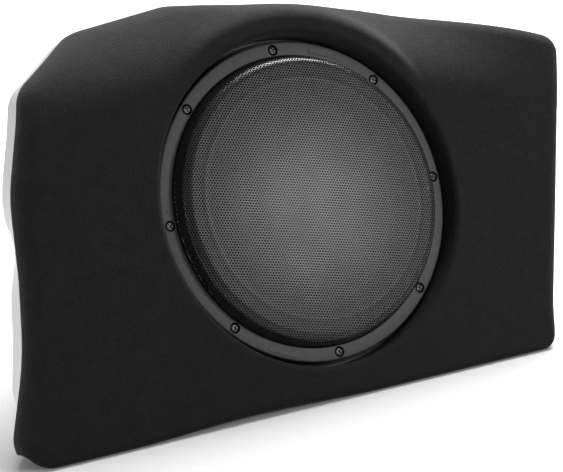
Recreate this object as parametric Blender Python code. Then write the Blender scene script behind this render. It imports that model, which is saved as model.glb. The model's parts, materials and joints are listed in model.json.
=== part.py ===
"""Powered 10-inch car subwoofer in a moulded, carpeted vehicle-fit enclosure.

World frame: metres, +Z up, +X to the right seen from the front, front towards -Y.
The flat base stands on Z = 0. The front face leans back by FACE_LEAN, and everything on the
woofer axis is modelled in the face frame: x across the face, y up the face, z out of it,
with its origin where the woofer axis meets the flat carpet plane.
"""

import math

import bmesh
import bpy
from mathutils import Matrix, Vector

MM = 0.001
FIT_GAP = 0.3 * MM          # clearance between pieces that touch
BOND_GAP = 1.0 * MM         # adhesive bead between the front and rear mouldings

# Fasteners of the speaker stack, and the bolt circle that the stack is built on
SCREW_CIRCLE_R = 132 * MM
SCREW_COUNT = 8
SCREW_SHANK_R = 2.2 * MM
SCREW_HEAD_R = 4.3 * MM
SCREW_HEAD_T = 2.6 * MM
SCREW_LENGTH = 27 * MM

# Trim ring: a rim of plastic on each side of the screw heads, and its gap in the recess
RING_RIM_IN = 1.5 * MM
RING_RIM_OUT = 2.2 * MM
RING_BORE_R = SCREW_CIRCLE_R - SCREW_HEAD_R - RING_RIM_IN
RING_OUTER_R = SCREW_CIRCLE_R + SCREW_HEAD_R + RING_RIM_OUT
RING_REVEAL = 4.5 * MM
RING_TOP = 14 * MM          # depth of the ring's face below the carpet plane
RING_T = 6 * MM
RECESS_R = RING_OUTER_R + RING_REVEAL
LIP_R = 5 * MM
POD_MARGIN = 13 * MM        # flat carpet round the recess before the face falls back
CREST_R = RECESS_R + POD_MARGIN

# Enclosure: the face leans back and reaches this far past the lip of the recess; its reach
# to the right covers the amplifier and is set with it
FACE_LEAN = math.radians(24.5)
LEFT_LAND = 165 * MM
BASE_LAND = 25 * MM
TOP_LAND = 38 * MM
REACH_LEFT = RECESS_R + LIP_R + LEFT_LAND
REACH_DOWN = RECESS_R + LIP_R + BASE_LAND
REACH_UP = RECESS_R + LIP_R + TOP_LAND
BASE_ARCH = 4.5 * MM        # relief of the base between the foot and the speaker
CARPET_T = 3.0 * MM
CARPET_GLUE = 0.6 * MM      # glue line between carpet and moulding
FRONT_WALL = 5.0 * MM
REAR_WALL = 4.0 * MM
REAR_STEP = 1.2 * MM        # rear shell set in from the carpet's outer face
RIM_DEPTH = 20 * MM         # depth of the front moulding's side wall
REAR_STRAIGHT = 21 * MM     # rear shell runs straight back this far before it narrows
REAR_TUCK = 18 * MM         # it tucks in this much behind the foot at lower left
WAIST_TUCK = 7 * MM         # and this much in the hand hold at the left waist
EDGE_SIDE = 13 * MM         # edge rounding at the sides and the top
EDGE_BASE = 7 * MM          # edge rounding along the base
BACK_ROUND = 6 * MM
SCOOP_DROP = 40 * MM        # the upper face falls back this far at its top edge
SCOOP_RUN = 66 * MM         # height of that fallen-back band

# The rest of the stack in the recess, down from the carpet plane
GRILLE_T = 1.2 * MM
GRILLE_RISE = 16 * MM       # grille shoulder above the trim ring
GRILLE_CROWN = 5 * MM       # dome above the shoulder
FLANGE_T = 3.5 * MM
FLANGE_R = RING_OUTER_R - 1.5 * MM
GASKET_T = 2.5 * MM
CUTOUT_LAND = 11 * MM       # seat of the basket flange inside the bolt circle
CUTOUT_R = SCREW_CIRCLE_R - CUTOUT_LAND
BAFFLE_T = 12 * MM

# Woofer, as depths and radii on its axis
SURROUND_SPAN = 29 * MM
CONE_R = CUTOUT_R - SURROUND_SPAN
COIL_R = 25.4 * MM
MAGNET_R = 60 * MM
MAGNET_T = 20 * MM
PLATE_T = 8 * MM
SHELF_DEPTH = 52 * MM       # spider shelf below the basket flange
BASKET_DEPTH = 71 * MM      # basket floor below the basket flange
SHEET = 2.5 * MM            # basket steel
MOTOR_DEPTH = RING_TOP + RING_T + BASKET_DEPTH + SHEET + MAGNET_T + 2 * PLATE_T + 4 * FIT_GAP
BACK_AIR = 24.2 * MM        # air behind the motor, for its pole vent
# The back wall stands this far behind the woofer axis point, along world Y.
DEPTH_BACK = (MOTOR_DEPTH * math.cos(FACE_LEAN) + MAGNET_R * math.sin(FACE_LEAN)
              + REAR_WALL + BACK_AIR)
STROKE = 9 * MM             # travel each way that the clearances allow for

# Amplifier on the back wall
AMP_W = 158 * MM
AMP_H = 126 * MM
AMP_SILL = 19 * MM          # height of the panel's lower edge above the floor
AMP_SIDE = 77 * MM          # the face reaches this far past the panel's right edge
AMP_X = MAGNET_R + 3 * MM + AMP_W / 2
REACH_RIGHT = AMP_X + AMP_W / 2 + AMP_SIDE
AMP_Z = AMP_SILL + AMP_H / 2
AMP_PANEL_T = 3 * MM
AMP_SEAL_T = 1.5 * MM
AMP_BOX_DEPTH = 52 * MM
FIN_HEIGHT = 14 * MM
FIN_COUNT = 13
KNOB_R = 6 * MM
KNOB_H = 9 * MM
KNOB_PITCH = 24 * MM
SHAFT_R = 3 * MM

# Floor brackets
BRACKET_T = 2.5 * MM
BRACKET_W = 34 * MM
BRACKET_FOOT = 32 * MM
BRACKET_RISE = 30 * MM
BRACKET_SPAN = 150 * MM
BRACKET_RIGHT = AMP_X - AMP_W / 2 - 33 * MM
BRACKET_X = (BRACKET_RIGHT - BRACKET_SPAN, BRACKET_RIGHT)

for old in list(bpy.data.objects):
    bpy.data.objects.remove(old, do_unlink=True)

scene_collection = bpy.context.scene.collection
root = bpy.data.objects.new("subwoofer", None)
scene_collection.objects.link(root)


def material(name, colour, roughness, metallic=0.0):
    made = bpy.data.materials.new(name)
    made.use_nodes = True
    surface = made.node_tree.nodes["Principled BSDF"]
    surface.inputs["Base Color"].default_value = (*colour, 1.0)
    surface.inputs["Roughness"].default_value = roughness
    surface.inputs["Metallic"].default_value = metallic
    return made


def place(name, mesh, parent, look, offset=(0, 0, 0), turn=0.0, smooth=35):
    """Link a mesh as an object under a parent empty; turn is about the parent's z."""
    made = bpy.data.objects.new(name, mesh)
    scene_collection.objects.link(made)
    made.parent = parent or root
    made.location = offset
    made.rotation_euler = (0, 0, turn)
    if look is not None:
        mesh.materials.append(look)
    if smooth:
        mesh.shade_smooth()
        mesh.set_sharp_from_angle(angle=math.radians(smooth))
    return made


def cutter(name, mesh, parent, offset=(0, 0, 0), turn=0.0):
    made = place(name, mesh, parent, None, offset, turn, 0)
    made.hide_render = True
    made.display_type = "WIRE"
    return made


def boolean(target, tool, operation="DIFFERENCE"):
    step = target.modifiers.new(tool.name, "BOOLEAN")
    step.operation = operation
    step.solver = "EXACT"
    step.object = tool
    return target


def to_mesh(name, bm):
    bmesh.ops.remove_doubles(bm, verts=bm.verts, dist=1e-6)
    bmesh.ops.recalc_face_normals(bm, faces=bm.faces)
    mesh = bpy.data.meshes.new(name)
    bm.to_mesh(mesh)
    bm.free()
    return mesh


def lathe(name, profile, steps):
    """Spin a closed profile of (radius, z) about the local z axis."""
    bm = bmesh.new()
    seam = 0.037            # radians, so that holes on the axes never meet the seam
    verts = [bm.verts.new((r * math.cos(seam), r * math.sin(seam), z)) for r, z in profile]
    edges = []
    for i in range(len(verts)):
        edges.append(bm.edges.new((verts[i - 1], verts[i])))
    bmesh.ops.spin(
        bm,
        geom=verts + edges,
        cent=(0, 0, 0),
        axis=(0, 0, 1),
        angle=2 * math.pi,
        steps=steps,
        use_merge=True,
    )
    return to_mesh(name, bm)


def box(name, size, centre=(0, 0, 0)):
    bm = bmesh.new()
    bmesh.ops.create_cube(bm, size=1.0)
    bmesh.ops.scale(bm, vec=size, verts=bm.verts)
    bmesh.ops.translate(bm, vec=centre, verts=bm.verts)
    return to_mesh(name, bm)


def prism(name, outline, low, high):
    """Extrude a polygon of (x, y) from z = low to z = high."""
    bm = bmesh.new()
    face = bm.faces.new([bm.verts.new((x, y, low)) for x, y in outline])
    grown = bmesh.ops.extrude_face_region(bm, geom=[face])
    tops = [g for g in grown["geom"] if isinstance(g, bmesh.types.BMVert)]
    bmesh.ops.translate(bm, vec=(0, 0, high - low), verts=tops)
    return to_mesh(name, bm)


def cylinders(name, spots, radius, low, high, sides):
    """Several separate upright cylinders in one mesh, for use as a cutter."""
    bm = bmesh.new()
    for x, y in spots:
        where = Matrix.Translation((x, y, (low + high) / 2))
        bmesh.ops.create_cone(
            bm, cap_ends=True, segments=sides, radius1=radius, radius2=radius,
            depth=high - low, matrix=where,
        )
    return to_mesh(name, bm)


def loft(name, outer, inner, capped=False):
    """Skin a wall between an outer and an inner surface, each a run of equal-count loops.

    Both surfaces are split along the same diagonals, so nested walls stay parallel. The first
    loops are joined by a rim; the last are joined by another, or each closed when capped.
    """
    bm = bmesh.new()
    sides = [[[bm.verts.new(p) for p in loop] for loop in loops] for loops in (outer, inner)]
    count = len(outer[0])
    for rows in sides:
        for low, high in zip(rows, rows[1:]):
            for i in range(count):
                j = (i + 1) % count
                bm.faces.new((low[i], low[j], high[j]))
                bm.faces.new((low[i], high[j], high[i]))
    rims = [(sides[0][0], sides[1][0])]
    if not capped:
        rims.append((sides[0][-1], sides[1][-1]))
    for a, b in rims:
        for i in range(count):
            j = (i + 1) % count
            bm.faces.new((a[i], a[j], b[j], b[i]))
    if capped:
        bm.faces.new(sides[0][-1])
        bm.faces.new(sides[1][-1])
    return to_mesh(name, bm)


def smoothstep(low, high, value):
    t = min(1.0, max(0.0, (value - low) / (high - low)))
    return t * t * (3 - 2 * t)


def rounded_outline(corners, spacing, arc_step):
    """Points and outward normals round a polygon whose corners carry fillet radii, anticlockwise."""
    count = len(corners)
    arcs = []
    for i in range(count):
        here = Vector(corners[i][:2])
        before = (here - Vector(corners[i - 1][:2])).normalized()
        after = (Vector(corners[(i + 1) % count][:2]) - here).normalized()
        turn = math.atan2(before.x * after.y - before.y * after.x, before.dot(after))
        radius = corners[i][2]
        reach = radius * math.tan(abs(turn) / 2)
        side = 1.0 if turn > 0 else -1.0
        left = Vector((-before.y, before.x))
        centre = here - before * reach + left * radius * side
        steps = max(2, math.ceil(abs(turn) / arc_step))
        arc = []
        for k in range(steps + 1):
            heading = math.atan2(before.y, before.x) + turn * k / steps
            normal = Vector((math.sin(heading), -math.cos(heading)))
            arc.append((centre + normal * radius * side, normal))
        arcs.append(arc)
    found = []
    for i in range(count):
        found += arcs[i]
        start, normal = arcs[i][-1]
        end = arcs[(i + 1) % count][0][0]
        pieces = max(1, math.ceil((end - start).length / spacing))
        for k in range(1, pieces):
            found.append((start.lerp(end, k / pieces), normal))
    return found


# --- Outline of the face, as shares of its four reaches, with fillet radii ---
L, R, U, D = REACH_LEFT, REACH_RIGHT, REACH_UP, REACH_DOWN
face_corners = [
    (-1.01 * L, -1.00 * D, 26 * MM),            # foot, lower left
    (-0.62 * L, -1.00 * D, 900 * MM),           # start of the base arch
    (-0.31 * L, -1.00 * D + BASE_ARCH, 900 * MM),
    (0.034 * R, -1.00 * D, 900 * MM),           # end of the base arch
    (0.716 * R, -1.00 * D, 16 * MM),            # lower right
    (1.00 * R, 0.567 * U, 17 * MM),             # upper right
    (0.45 * R, 0.875 * U, 120 * MM),            # brow, right of the speaker
    (-0.02 * L, 0.958 * U, 200 * MM),           # over the speaker
    (-0.235 * L, 1.02 * U, 40 * MM),            # peak
    (-0.525 * L, 0.955 * U, 50 * MM),           # end of the cut
    (-0.757 * L, 0.70 * U, 36 * MM),            # left shoulder
    (-0.845 * L, 0.25 * U, 150 * MM),           # waist
    (-0.868 * L, -0.11 * U, 200 * MM),          # hip
    (-0.901 * L, -0.47 * D, 250 * MM),          # flare to the foot
]
outline = rounded_outline(face_corners, 56 * MM, math.radians(23))
COUNT = len(outline)

# Directions of the spokes round the recess: the outline's own, evened out
spokes = [math.atan2(p.y, p.x) for p, _ in outline]
for i in range(1, COUNT):
    while spokes[i] < spokes[i - 1]:
        spokes[i] += 2 * math.pi
for _ in range(12):
    eased = list(spokes)
    for i in range(COUNT):
        before = spokes[i - 1] - (2 * math.pi if i == 0 else 0)
        after = spokes[(i + 1) % COUNT] + (2 * math.pi if i == COUNT - 1 else 0)
        eased[i] = 0.5 * spokes[i] + 0.25 * (before + after)
    spokes = eased


def crown(x, y):
    """Fall of the face behind the flat carpet plane: a scoop along the top, held off by the pod."""
    top = U - (x + 0.13 * L) * (U * 0.42 / (R + 0.13 * L)) if x > -0.13 * L else U + (x + 0.13 * L) * 0.12
    fade = smoothstep(0.93 * R, 0.42 * R, x) if x > 0 else smoothstep(-1.02 * L, -0.50 * L, x) * 0.75 + 0.25
    t = max(0.0, (y - (top - SCOOP_RUN)) / SCOOP_RUN)
    scoop = SCOOP_DROP * (0.12 + 0.88 * fade) * t * t if x > 0 else SCOOP_DROP * fade * t * t
    out = max(0.0, math.hypot(x, y) - CREST_R)
    bend = 9 * MM
    pod = out * out / (2 * bend) if out < 1.8 * bend else 1.8 * (out - 0.9 * bend)
    if scoop < 1e-9 or pod < 1e-9:
        return 0.0
    return -scoop * pod / (scoop ** 3 + pod ** 3) ** (1 / 3)


def shaped(x, y, z):
    """Bend a point of the flat-fronted shell: base walls run level, the upper face falls back."""
    level = smoothstep(-(D - 20 * MM), -(D - 8.5 * MM), y)
    return Vector((x, y - z * math.tan(FACE_LEAN) * level, z + crown(x, y)))


def circle(radius, depth):
    return [Vector((radius * math.cos(a), radius * math.sin(a), -depth)) for a in spokes]


def edge_radius(y):
    return EDGE_BASE + (EDGE_SIDE - EDGE_BASE) * smoothstep(-0.96 * D, -0.74 * D, y)


def face_loops(off, recess_floor, face_steps, edge_steps):
    """Loops of one layer of the front, off below the carpet's outer face, recess to rim."""
    loops = []
    wall = RECESS_R + off
    lip = max(LIP_R - off, 0.4 * MM)
    loops.append(circle(wall, recess_floor))
    for k in range(4):
        a = math.radians(30 * k)
        loops.append(circle(wall + lip * (1 - math.cos(a)), off + lip * (1 - math.sin(a))))
    inner = loops[-1]
    starts = []
    for point, normal in outline:
        edge = max(edge_radius(point.y) - off, 0.5 * MM)
        starts.append(point - normal * (off + edge))
    for k in range(1, face_steps):
        t = k / face_steps
        loop = []
        for i in range(COUNT):
            across = Vector((inner[i].x, inner[i].y)).lerp(starts[i], t)
            loop.append(Vector((across.x, across.y, -off)))
        loops.append(loop)
    for k in range(edge_steps + 1):
        a = math.pi / 2 * k / edge_steps
        loop = []
        for point, normal in outline:
            edge = max(edge_radius(point.y) - off, 0.5 * MM)
            flat = point - normal * (off + edge * (1 - math.sin(a)))
            loop.append(Vector((flat.x, flat.y, -off - edge * (1 - math.cos(a)))))
        loops.append(loop)
    rim = []
    for point, normal in outline:
        flat = point - normal * off
        rim.append(Vector((flat.x, flat.y, -RIM_DEPTH)))
    loops.append(rim)
    return loops


def bent(loops):
    return [[shaped(*p) for p in loop] for loop in loops]


# --- Frames ---
face_frame = bpy.data.objects.new("face_frame", None)
scene_collection.objects.link(face_frame)
face_frame.parent = root
face_frame.location = (0, 0, D * math.cos(FACE_LEAN))
face_frame.rotation_euler = (math.pi / 2 - FACE_LEAN, 0, 0)
# A turn of 90 deg - lean about X takes local z to (0, -cos lean, sin lean).
face_matrix = Matrix.Translation(face_frame.location) @ Matrix.Rotation(math.pi / 2 - FACE_LEAN, 4, "X")

amp_frame = bpy.data.objects.new("amp_frame", None)
scene_collection.objects.link(amp_frame)
amp_frame.parent = root
amp_frame.location = (AMP_X, DEPTH_BACK, AMP_Z)
amp_frame.rotation_euler = (math.pi / 2, 0, math.pi)
# Local x runs to world -X, local y up, local z out of the back wall.

# --- Materials ---
carpet_look = material("black_carpet", (0.012, 0.012, 0.013), 0.95)
front_look = material("black_moulding", (0.03, 0.03, 0.032), 0.6)
fibreglass_look = material("grey_gelcoat", (0.62, 0.63, 0.64), 0.45)
wood_look = material("mdf", (0.42, 0.29, 0.17), 0.8)
ring_look = material("ring_plastic", (0.045, 0.047, 0.05), 0.42)
grille_look = material("grille_steel", (0.02, 0.02, 0.022), 0.45, 0.6)
screw_look = material("black_oxide", (0.02, 0.02, 0.02), 0.35, 0.9)
foam_look = material("seal_foam", (0.015, 0.015, 0.015), 0.9)
frame_look = material("stamped_steel", (0.03, 0.03, 0.032), 0.4, 0.7)
rubber_look = material("surround_rubber", (0.012, 0.012, 0.012), 0.6)
cone_look = material("cone_pp", (0.025, 0.025, 0.027), 0.5)
cap_look = material("dust_cap_pp", (0.02, 0.02, 0.02), 0.4)
former_look = material("former_kapton", (0.55, 0.3, 0.06), 0.4)
copper_look = material("coil_copper", (0.72, 0.35, 0.16), 0.3, 1.0)
spider_look = material("spider_cloth", (0.75, 0.6, 0.2), 0.85)
zinc_look = material("zinc_steel", (0.6, 0.6, 0.6), 0.35, 1.0)
ferrite_look = material("ferrite", (0.05, 0.05, 0.055), 0.6)
block_look = material("terminal_nylon", (0.02, 0.02, 0.02), 0.5)
red_look = material("wire_red", (0.5, 0.02, 0.02), 0.45)
black_wire_look = material("wire_black", (0.02, 0.02, 0.02), 0.45)
alloy_look = material("black_anodised", (0.03, 0.03, 0.032), 0.4, 0.8)
steel_box_look = material("zinc_sheet", (0.55, 0.56, 0.57), 0.4, 0.9)
board_look = material("circuit_green", (0.02, 0.16, 0.06), 0.5)
toroid_look = material("toroid_wire", (0.6, 0.28, 0.1), 0.35, 0.6)
can_look = material("capacitor_sleeve", (0.02, 0.03, 0.12), 0.35)
chip_look = material("transistor_epoxy", (0.02, 0.02, 0.02), 0.5)
knob_look = material("knob_plastic", (0.03, 0.03, 0.03), 0.45)
switch_look = material("switch_plastic", (0.7, 0.7, 0.7), 0.4)
fuse_look = material("fuse_plastic", (0.75, 0.35, 0.03), 0.25)
led_look = material("led_lens", (0.02, 0.1, 0.7), 0.15)
bracket_look = material("bracket_steel", (0.04, 0.04, 0.04), 0.5, 0.5)

# --- Front moulding and carpet ---
seat = RING_TOP + RING_T + FLANGE_T + GASKET_T + 3 * FIT_GAP
FACE_STEPS = 4
EDGE_STEPS = 3
carpet_outer = face_loops(0.0, seat - FIT_GAP, FACE_STEPS, EDGE_STEPS)
carpet_inner = face_loops(CARPET_T, seat - FIT_GAP, FACE_STEPS, EDGE_STEPS)
carpet_mesh = loft("carpet_cover", bent(carpet_outer), bent(carpet_inner))
place("carpet_cover", carpet_mesh, face_frame, carpet_look)

under = CARPET_T + CARPET_GLUE
shell_outer = face_loops(under, seat, FACE_STEPS, EDGE_STEPS)
shell_inner = face_loops(under + FRONT_WALL, seat + FRONT_WALL, 3, 1)
shell_outer = [circle(CUTOUT_R, seat)] + shell_outer
shell_inner = [circle(CUTOUT_R, seat + FRONT_WALL)] + shell_inner
front_mesh = loft("front_shell", bent(shell_outer), bent(shell_inner))
front_shell = place("front_shell", front_mesh, face_frame, front_look)

# --- Rear shell: straight back from the rim, then hull-like to a flat back wall ---
x_low = min(p.x for p, _ in outline)
x_high = max(p.x for p, _ in outline)
front_edge = min((face_matrix @ p).y for loop in bent(carpet_outer) for p in loop)
back_edge = DEPTH_BACK + FIT_GAP + BRACKET_FOOT
# The origin is under the middle of the whole object.
root.location = (-(x_low + x_high) / 2, -(front_edge + back_edge) / 2, 0)
back_left = -0.58 * L
back_right = 0.97 * R
back_rise = 0.66


def rear_rim(depth, wall, tucks=(0.0, 0.0)):
    """The rear shell's section near the joint, wall in from its outer face."""
    ring = []
    for point, normal in outline:
        left = smoothstep(0.2, 0.8, -normal.x)
        low = smoothstep(-0.55 * D, -0.80 * D, point.y)
        waist = math.exp(-((point.y - 0.03 * U) / (0.12 * U)) ** 2)
        tuck = left * (low * tucks[0] + waist * tucks[1])
        flat = point - normal * (REAR_STEP + wall + tuck)
        ring.append(face_matrix @ shaped(flat.x, flat.y, -depth))
    return ring


def back_ring(y, inset):
    """The face outline narrowed on to the back wall and inset along its own normals."""
    ring = []
    wide = (back_right - back_left) / (x_high - x_low)
    for p, (_, normal) in zip(rear_rim(RIM_DEPTH + BOND_GAP, 0.0), outline):
        out = Vector((normal.x / wide, normal.y / back_rise)).normalized()
        x = back_left + (p.x - x_low) * wide - out.x * inset
        ring.append(Vector((x, y, p.z * back_rise - out.y * inset)))
    return ring


def rear_loops(wall):
    """Loops of the rear shell's outer face (wall 0) or inner face, from the joint to the back."""
    loops = [
        rear_rim(RIM_DEPTH + BOND_GAP, wall),
        rear_rim(RIM_DEPTH + REAR_STRAIGHT, wall, (REAR_TUCK, WAIST_TUCK)),
    ]
    radius = BACK_ROUND - wall
    last = back_ring(DEPTH_BACK - BACK_ROUND, wall)
    loops.append([a.lerp(b, 0.5) for a, b in zip(loops[1], last)])
    for k in range(4):
        a = math.radians(30 * k)
        y = DEPTH_BACK - BACK_ROUND + radius * math.sin(a)
        loops.append(back_ring(y, wall + radius * (1 - math.cos(a))))
    return loops


rear_mesh = loft("rear_shell", rear_loops(0.0), rear_loops(REAR_WALL), capped=True)
rear_shell = place("rear_shell", rear_mesh, None, fibreglass_look)

# --- Screw pattern shared by the whole speaker stack ---
screw_spots = []
for k in range(SCREW_COUNT):
    a = math.pi / 2 + 2 * math.pi * k / SCREW_COUNT
    screw_spots.append((SCREW_CIRCLE_R * math.cos(a), SCREW_CIRCLE_R * math.sin(a)))
bore = SCREW_SHANK_R + FIT_GAP
hole_mesh = cylinders("screw_hole_cutter", screw_spots, bore, -0.08, 0.0, 8)
screw_holes = cutter("screw_hole_cutter", hole_mesh, face_frame)
boolean(front_shell, screw_holes)

baffle_top = seat + FRONT_WALL + FIT_GAP
floor_room = (D - baffle_top * math.tan(FACE_LEAN) - BAFFLE_T * math.tan(FACE_LEAN)) - 9 * MM
baffle_outer = min(RECESS_R - 2 * MM, floor_room)
baffle_profile = [
    (CUTOUT_R, -baffle_top),
    (baffle_outer, -baffle_top),
    (baffle_outer, -baffle_top - BAFFLE_T),
    (CUTOUT_R, -baffle_top - BAFFLE_T),
]
baffle = place("baffle_ring", lathe("baffle_ring", baffle_profile, 36), face_frame, wood_look)
boolean(baffle, screw_holes)

# --- Trim ring ---
RING_STEPS = 44             # the ring and the grille in it share their facets
ring_bottom = RING_TOP + RING_T
clamp_r = SCREW_CIRCLE_R - SCREW_SHANK_R - 1 * MM
clamp_t = GRILLE_T + FIT_GAP
ring_profile = [
    (RING_BORE_R + 0.8 * MM, -RING_TOP),
    (RING_BORE_R, -RING_TOP - 0.8 * MM),
    (RING_BORE_R, -ring_bottom + clamp_t),
    (clamp_r, -ring_bottom + clamp_t),
    (clamp_r, -ring_bottom),
    (RING_OUTER_R, -ring_bottom),
    (RING_OUTER_R, -RING_TOP - 1.6 * MM),
    (RING_OUTER_R - 1.6 * MM, -RING_TOP),
]
trim_ring = place("trim_ring", lathe("trim_ring", ring_profile, RING_STEPS), face_frame, ring_look)
boolean(trim_ring, screw_holes)
sink = 0.6 * MM             # heads sit this far below the ring's face
head_low = RING_TOP + sink + SCREW_HEAD_T
sink_mesh = cylinders("counterbore_cutter", screw_spots, SCREW_HEAD_R + FIT_GAP, -head_low - FIT_GAP, 0.0, 12)
boolean(trim_ring, cutter("counterbore_cutter", sink_mesh, face_frame))

# --- Grille pan ---
lift = -RING_TOP + GRILLE_RISE
wall_r = RING_BORE_R - FIT_GAP
grille_profile = []
rise_steps = 3
bend_r = 7 * MM
flat_r = wall_r - 2.0 * MM - bend_r
outer_face = [(clamp_r - FIT_GAP, -ring_bottom + GRILLE_T), (wall_r, -ring_bottom + GRILLE_T)]
for k in range(rise_steps + 1):
    a = math.pi / 2 * k / rise_steps
    outer_face.append((flat_r + bend_r * math.cos(a), lift - bend_r + bend_r * math.sin(a)))
for k in range(1, 4):
    t = k / 3
    outer_face.append((flat_r * (1 - t), lift + GRILLE_CROWN * (1 - (1 - t) ** 2)))
inner_face = [(clamp_r - FIT_GAP, -ring_bottom), (wall_r - GRILLE_T, -ring_bottom)]
for k in range(rise_steps + 1):
    a = math.pi / 2 * k / rise_steps
    inner_bend = bend_r - GRILLE_T
    inner_face.append((flat_r + inner_bend * math.cos(a), lift - bend_r + inner_bend * math.sin(a)))
for k in range(1, 4):
    t = k / 3
    inner_face.append((flat_r * (1 - t), lift + GRILLE_CROWN * (1 - (1 - t) ** 2) - GRILLE_T))
grille_profile = outer_face + inner_face[::-1]
place("grille_mesh", lathe("grille_mesh", grille_profile, RING_STEPS), face_frame, grille_look)

# --- Ring screws ---
screw_profile = [
    (0, -head_low - SCREW_LENGTH + SCREW_HEAD_T),
    (SCREW_SHANK_R * 0.35, -head_low - SCREW_LENGTH + SCREW_HEAD_T),
    (SCREW_SHANK_R, -head_low - SCREW_LENGTH + SCREW_HEAD_T + 4 * MM),
    (SCREW_SHANK_R, -head_low),
    (SCREW_HEAD_R, -head_low),
    (SCREW_HEAD_R, -head_low + SCREW_HEAD_T * 0.6),
    (SCREW_HEAD_R * 0.62, -head_low + SCREW_HEAD_T),
    (SCREW_HEAD_R * 0.4, -head_low + SCREW_HEAD_T),
    (SCREW_HEAD_R * 0.4, -head_low + 1.0 * MM),
    (0, -head_low + 1.0 * MM),
]
screw_mesh = lathe("trim_screw", screw_profile, 8)
screw_mesh.materials.append(screw_look)
for k, (x, y) in enumerate(screw_spots):
    place(f"trim_screw_{k + 1}", screw_mesh, face_frame, None, (x, y, 0))

# --- Woofer: gasket, basket, motor ---
gasket_top = ring_bottom + FLANGE_T + 2 * FIT_GAP
gasket_profile = [
    (CUTOUT_R - 0.5 * MM, -gasket_top),
    (RECESS_R - 1.5 * MM, -gasket_top),
    (RECESS_R - 1.5 * MM, -gasket_top - GASKET_T),
    (CUTOUT_R - 0.5 * MM, -gasket_top - GASKET_T),
]
gasket = place("woofer_gasket", lathe("woofer_gasket", gasket_profile, 36), face_frame, foam_look)
boolean(gasket, screw_holes)

flange_top = ring_bottom + FIT_GAP
flange_low = flange_top + FLANGE_T
sheet = SHEET
body_r = CUTOUT_R - 1.5 * MM
ledge_r = body_r - 9.5 * MM
ledge = flange_top + 2.7 * MM
shelf_low = flange_top + SHELF_DEPTH
floor_z = flange_top + BASKET_DEPTH
shelf_r = MAGNET_R + 12 * MM
skirt_r = MAGNET_R + 2.5 * MM
floor_bore = COIL_R + 8.6 * MM
basket_profile = [
    (FLANGE_R, -flange_top),
    (FLANGE_R, -flange_low),
    (body_r, -flange_low),
    (shelf_r + 2 * MM, -shelf_low - 3 * MM),
    (shelf_r, -shelf_low - sheet),
    (skirt_r, -shelf_low - sheet),
    (skirt_r, -floor_z - sheet),
    (floor_bore, -floor_z - sheet),
    (floor_bore, -floor_z),
    (skirt_r - sheet, -floor_z),
    (skirt_r - sheet, -shelf_low),
    (shelf_r, -shelf_low),
    (body_r - 5 * MM, -ledge - 2.2 * MM),
    (ledge_r, -ledge - 2.2 * MM),
    (ledge_r, -ledge),
    (body_r + 1 * MM, -ledge),
    (body_r + 1 * MM, -flange_top),
]
basket = place("woofer_basket", lathe("woofer_basket", basket_profile, 32), face_frame, frame_look)
boolean(basket, screw_holes)
window_bm = bmesh.new()
for k in range(6):
    mid = 2 * math.pi * k / 6 + math.pi / 6
    half = math.radians(18)
    ends = []
    for a, r in ((mid - half, shelf_r + 4 * MM), (mid - half, ledge_r - 4 * MM),
                 (mid + half, ledge_r - 4 * MM), (mid + half, shelf_r + 4 * MM)):
        ends.append((r * math.cos(a), r * math.sin(a)))
    face = window_bm.faces.new([window_bm.verts.new((x, y, -shelf_low - 12 * MM)) for x, y in ends])
    grown = bmesh.ops.extrude_face_region(window_bm, geom=[face])
    tops = [g for g in grown["geom"] if isinstance(g, bmesh.types.BMVert)]
    bmesh.ops.translate(window_bm, vec=(0, 0, shelf_low + 9 * MM - flange_low), verts=tops)
boolean(basket, cutter("window_cutter", to_mesh("window_cutter", window_bm), face_frame))

plate_top = floor_z + sheet + FIT_GAP
plate_profile = [
    (COIL_R + 3.2 * MM, -plate_top),
    (MAGNET_R, -plate_top),
    (MAGNET_R, -plate_top - PLATE_T),
    (COIL_R + 3.2 * MM, -plate_top - PLATE_T),
]
place("top_plate", lathe("top_plate", plate_profile, 32), face_frame, zinc_look)
magnet_top = plate_top + PLATE_T + FIT_GAP
magnet_profile = [
    (COIL_R + 8.6 * MM, -magnet_top),
    (MAGNET_R - 1.5 * MM, -magnet_top),
    (MAGNET_R, -magnet_top - 1.5 * MM),
    (MAGNET_R, -magnet_top - MAGNET_T + 1.5 * MM),
    (MAGNET_R - 1.5 * MM, -magnet_top - MAGNET_T),
    (COIL_R + 8.6 * MM, -magnet_top - MAGNET_T),
]
place("magnet", lathe("magnet", magnet_profile, 32), face_frame, ferrite_look)
yoke_top = magnet_top + MAGNET_T + FIT_GAP
pole_r = COIL_R - 0.8 * MM - 0.7 * MM
vent_r = 7 * MM
yoke_profile = [
    (vent_r, -plate_top),
    (pole_r - 1 * MM, -plate_top),
    (pole_r, -plate_top - 1 * MM),
    (pole_r, -yoke_top),
    (MAGNET_R - 1 * MM, -yoke_top),
    (MAGNET_R - 1 * MM, -yoke_top - PLATE_T + 2 * MM),
    (MAGNET_R - 3 * MM, -yoke_top - PLATE_T),
    (vent_r, -yoke_top - PLATE_T),
]
place("back_plate", lathe("back_plate", yoke_profile, 32), face_frame, zinc_look)

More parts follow.
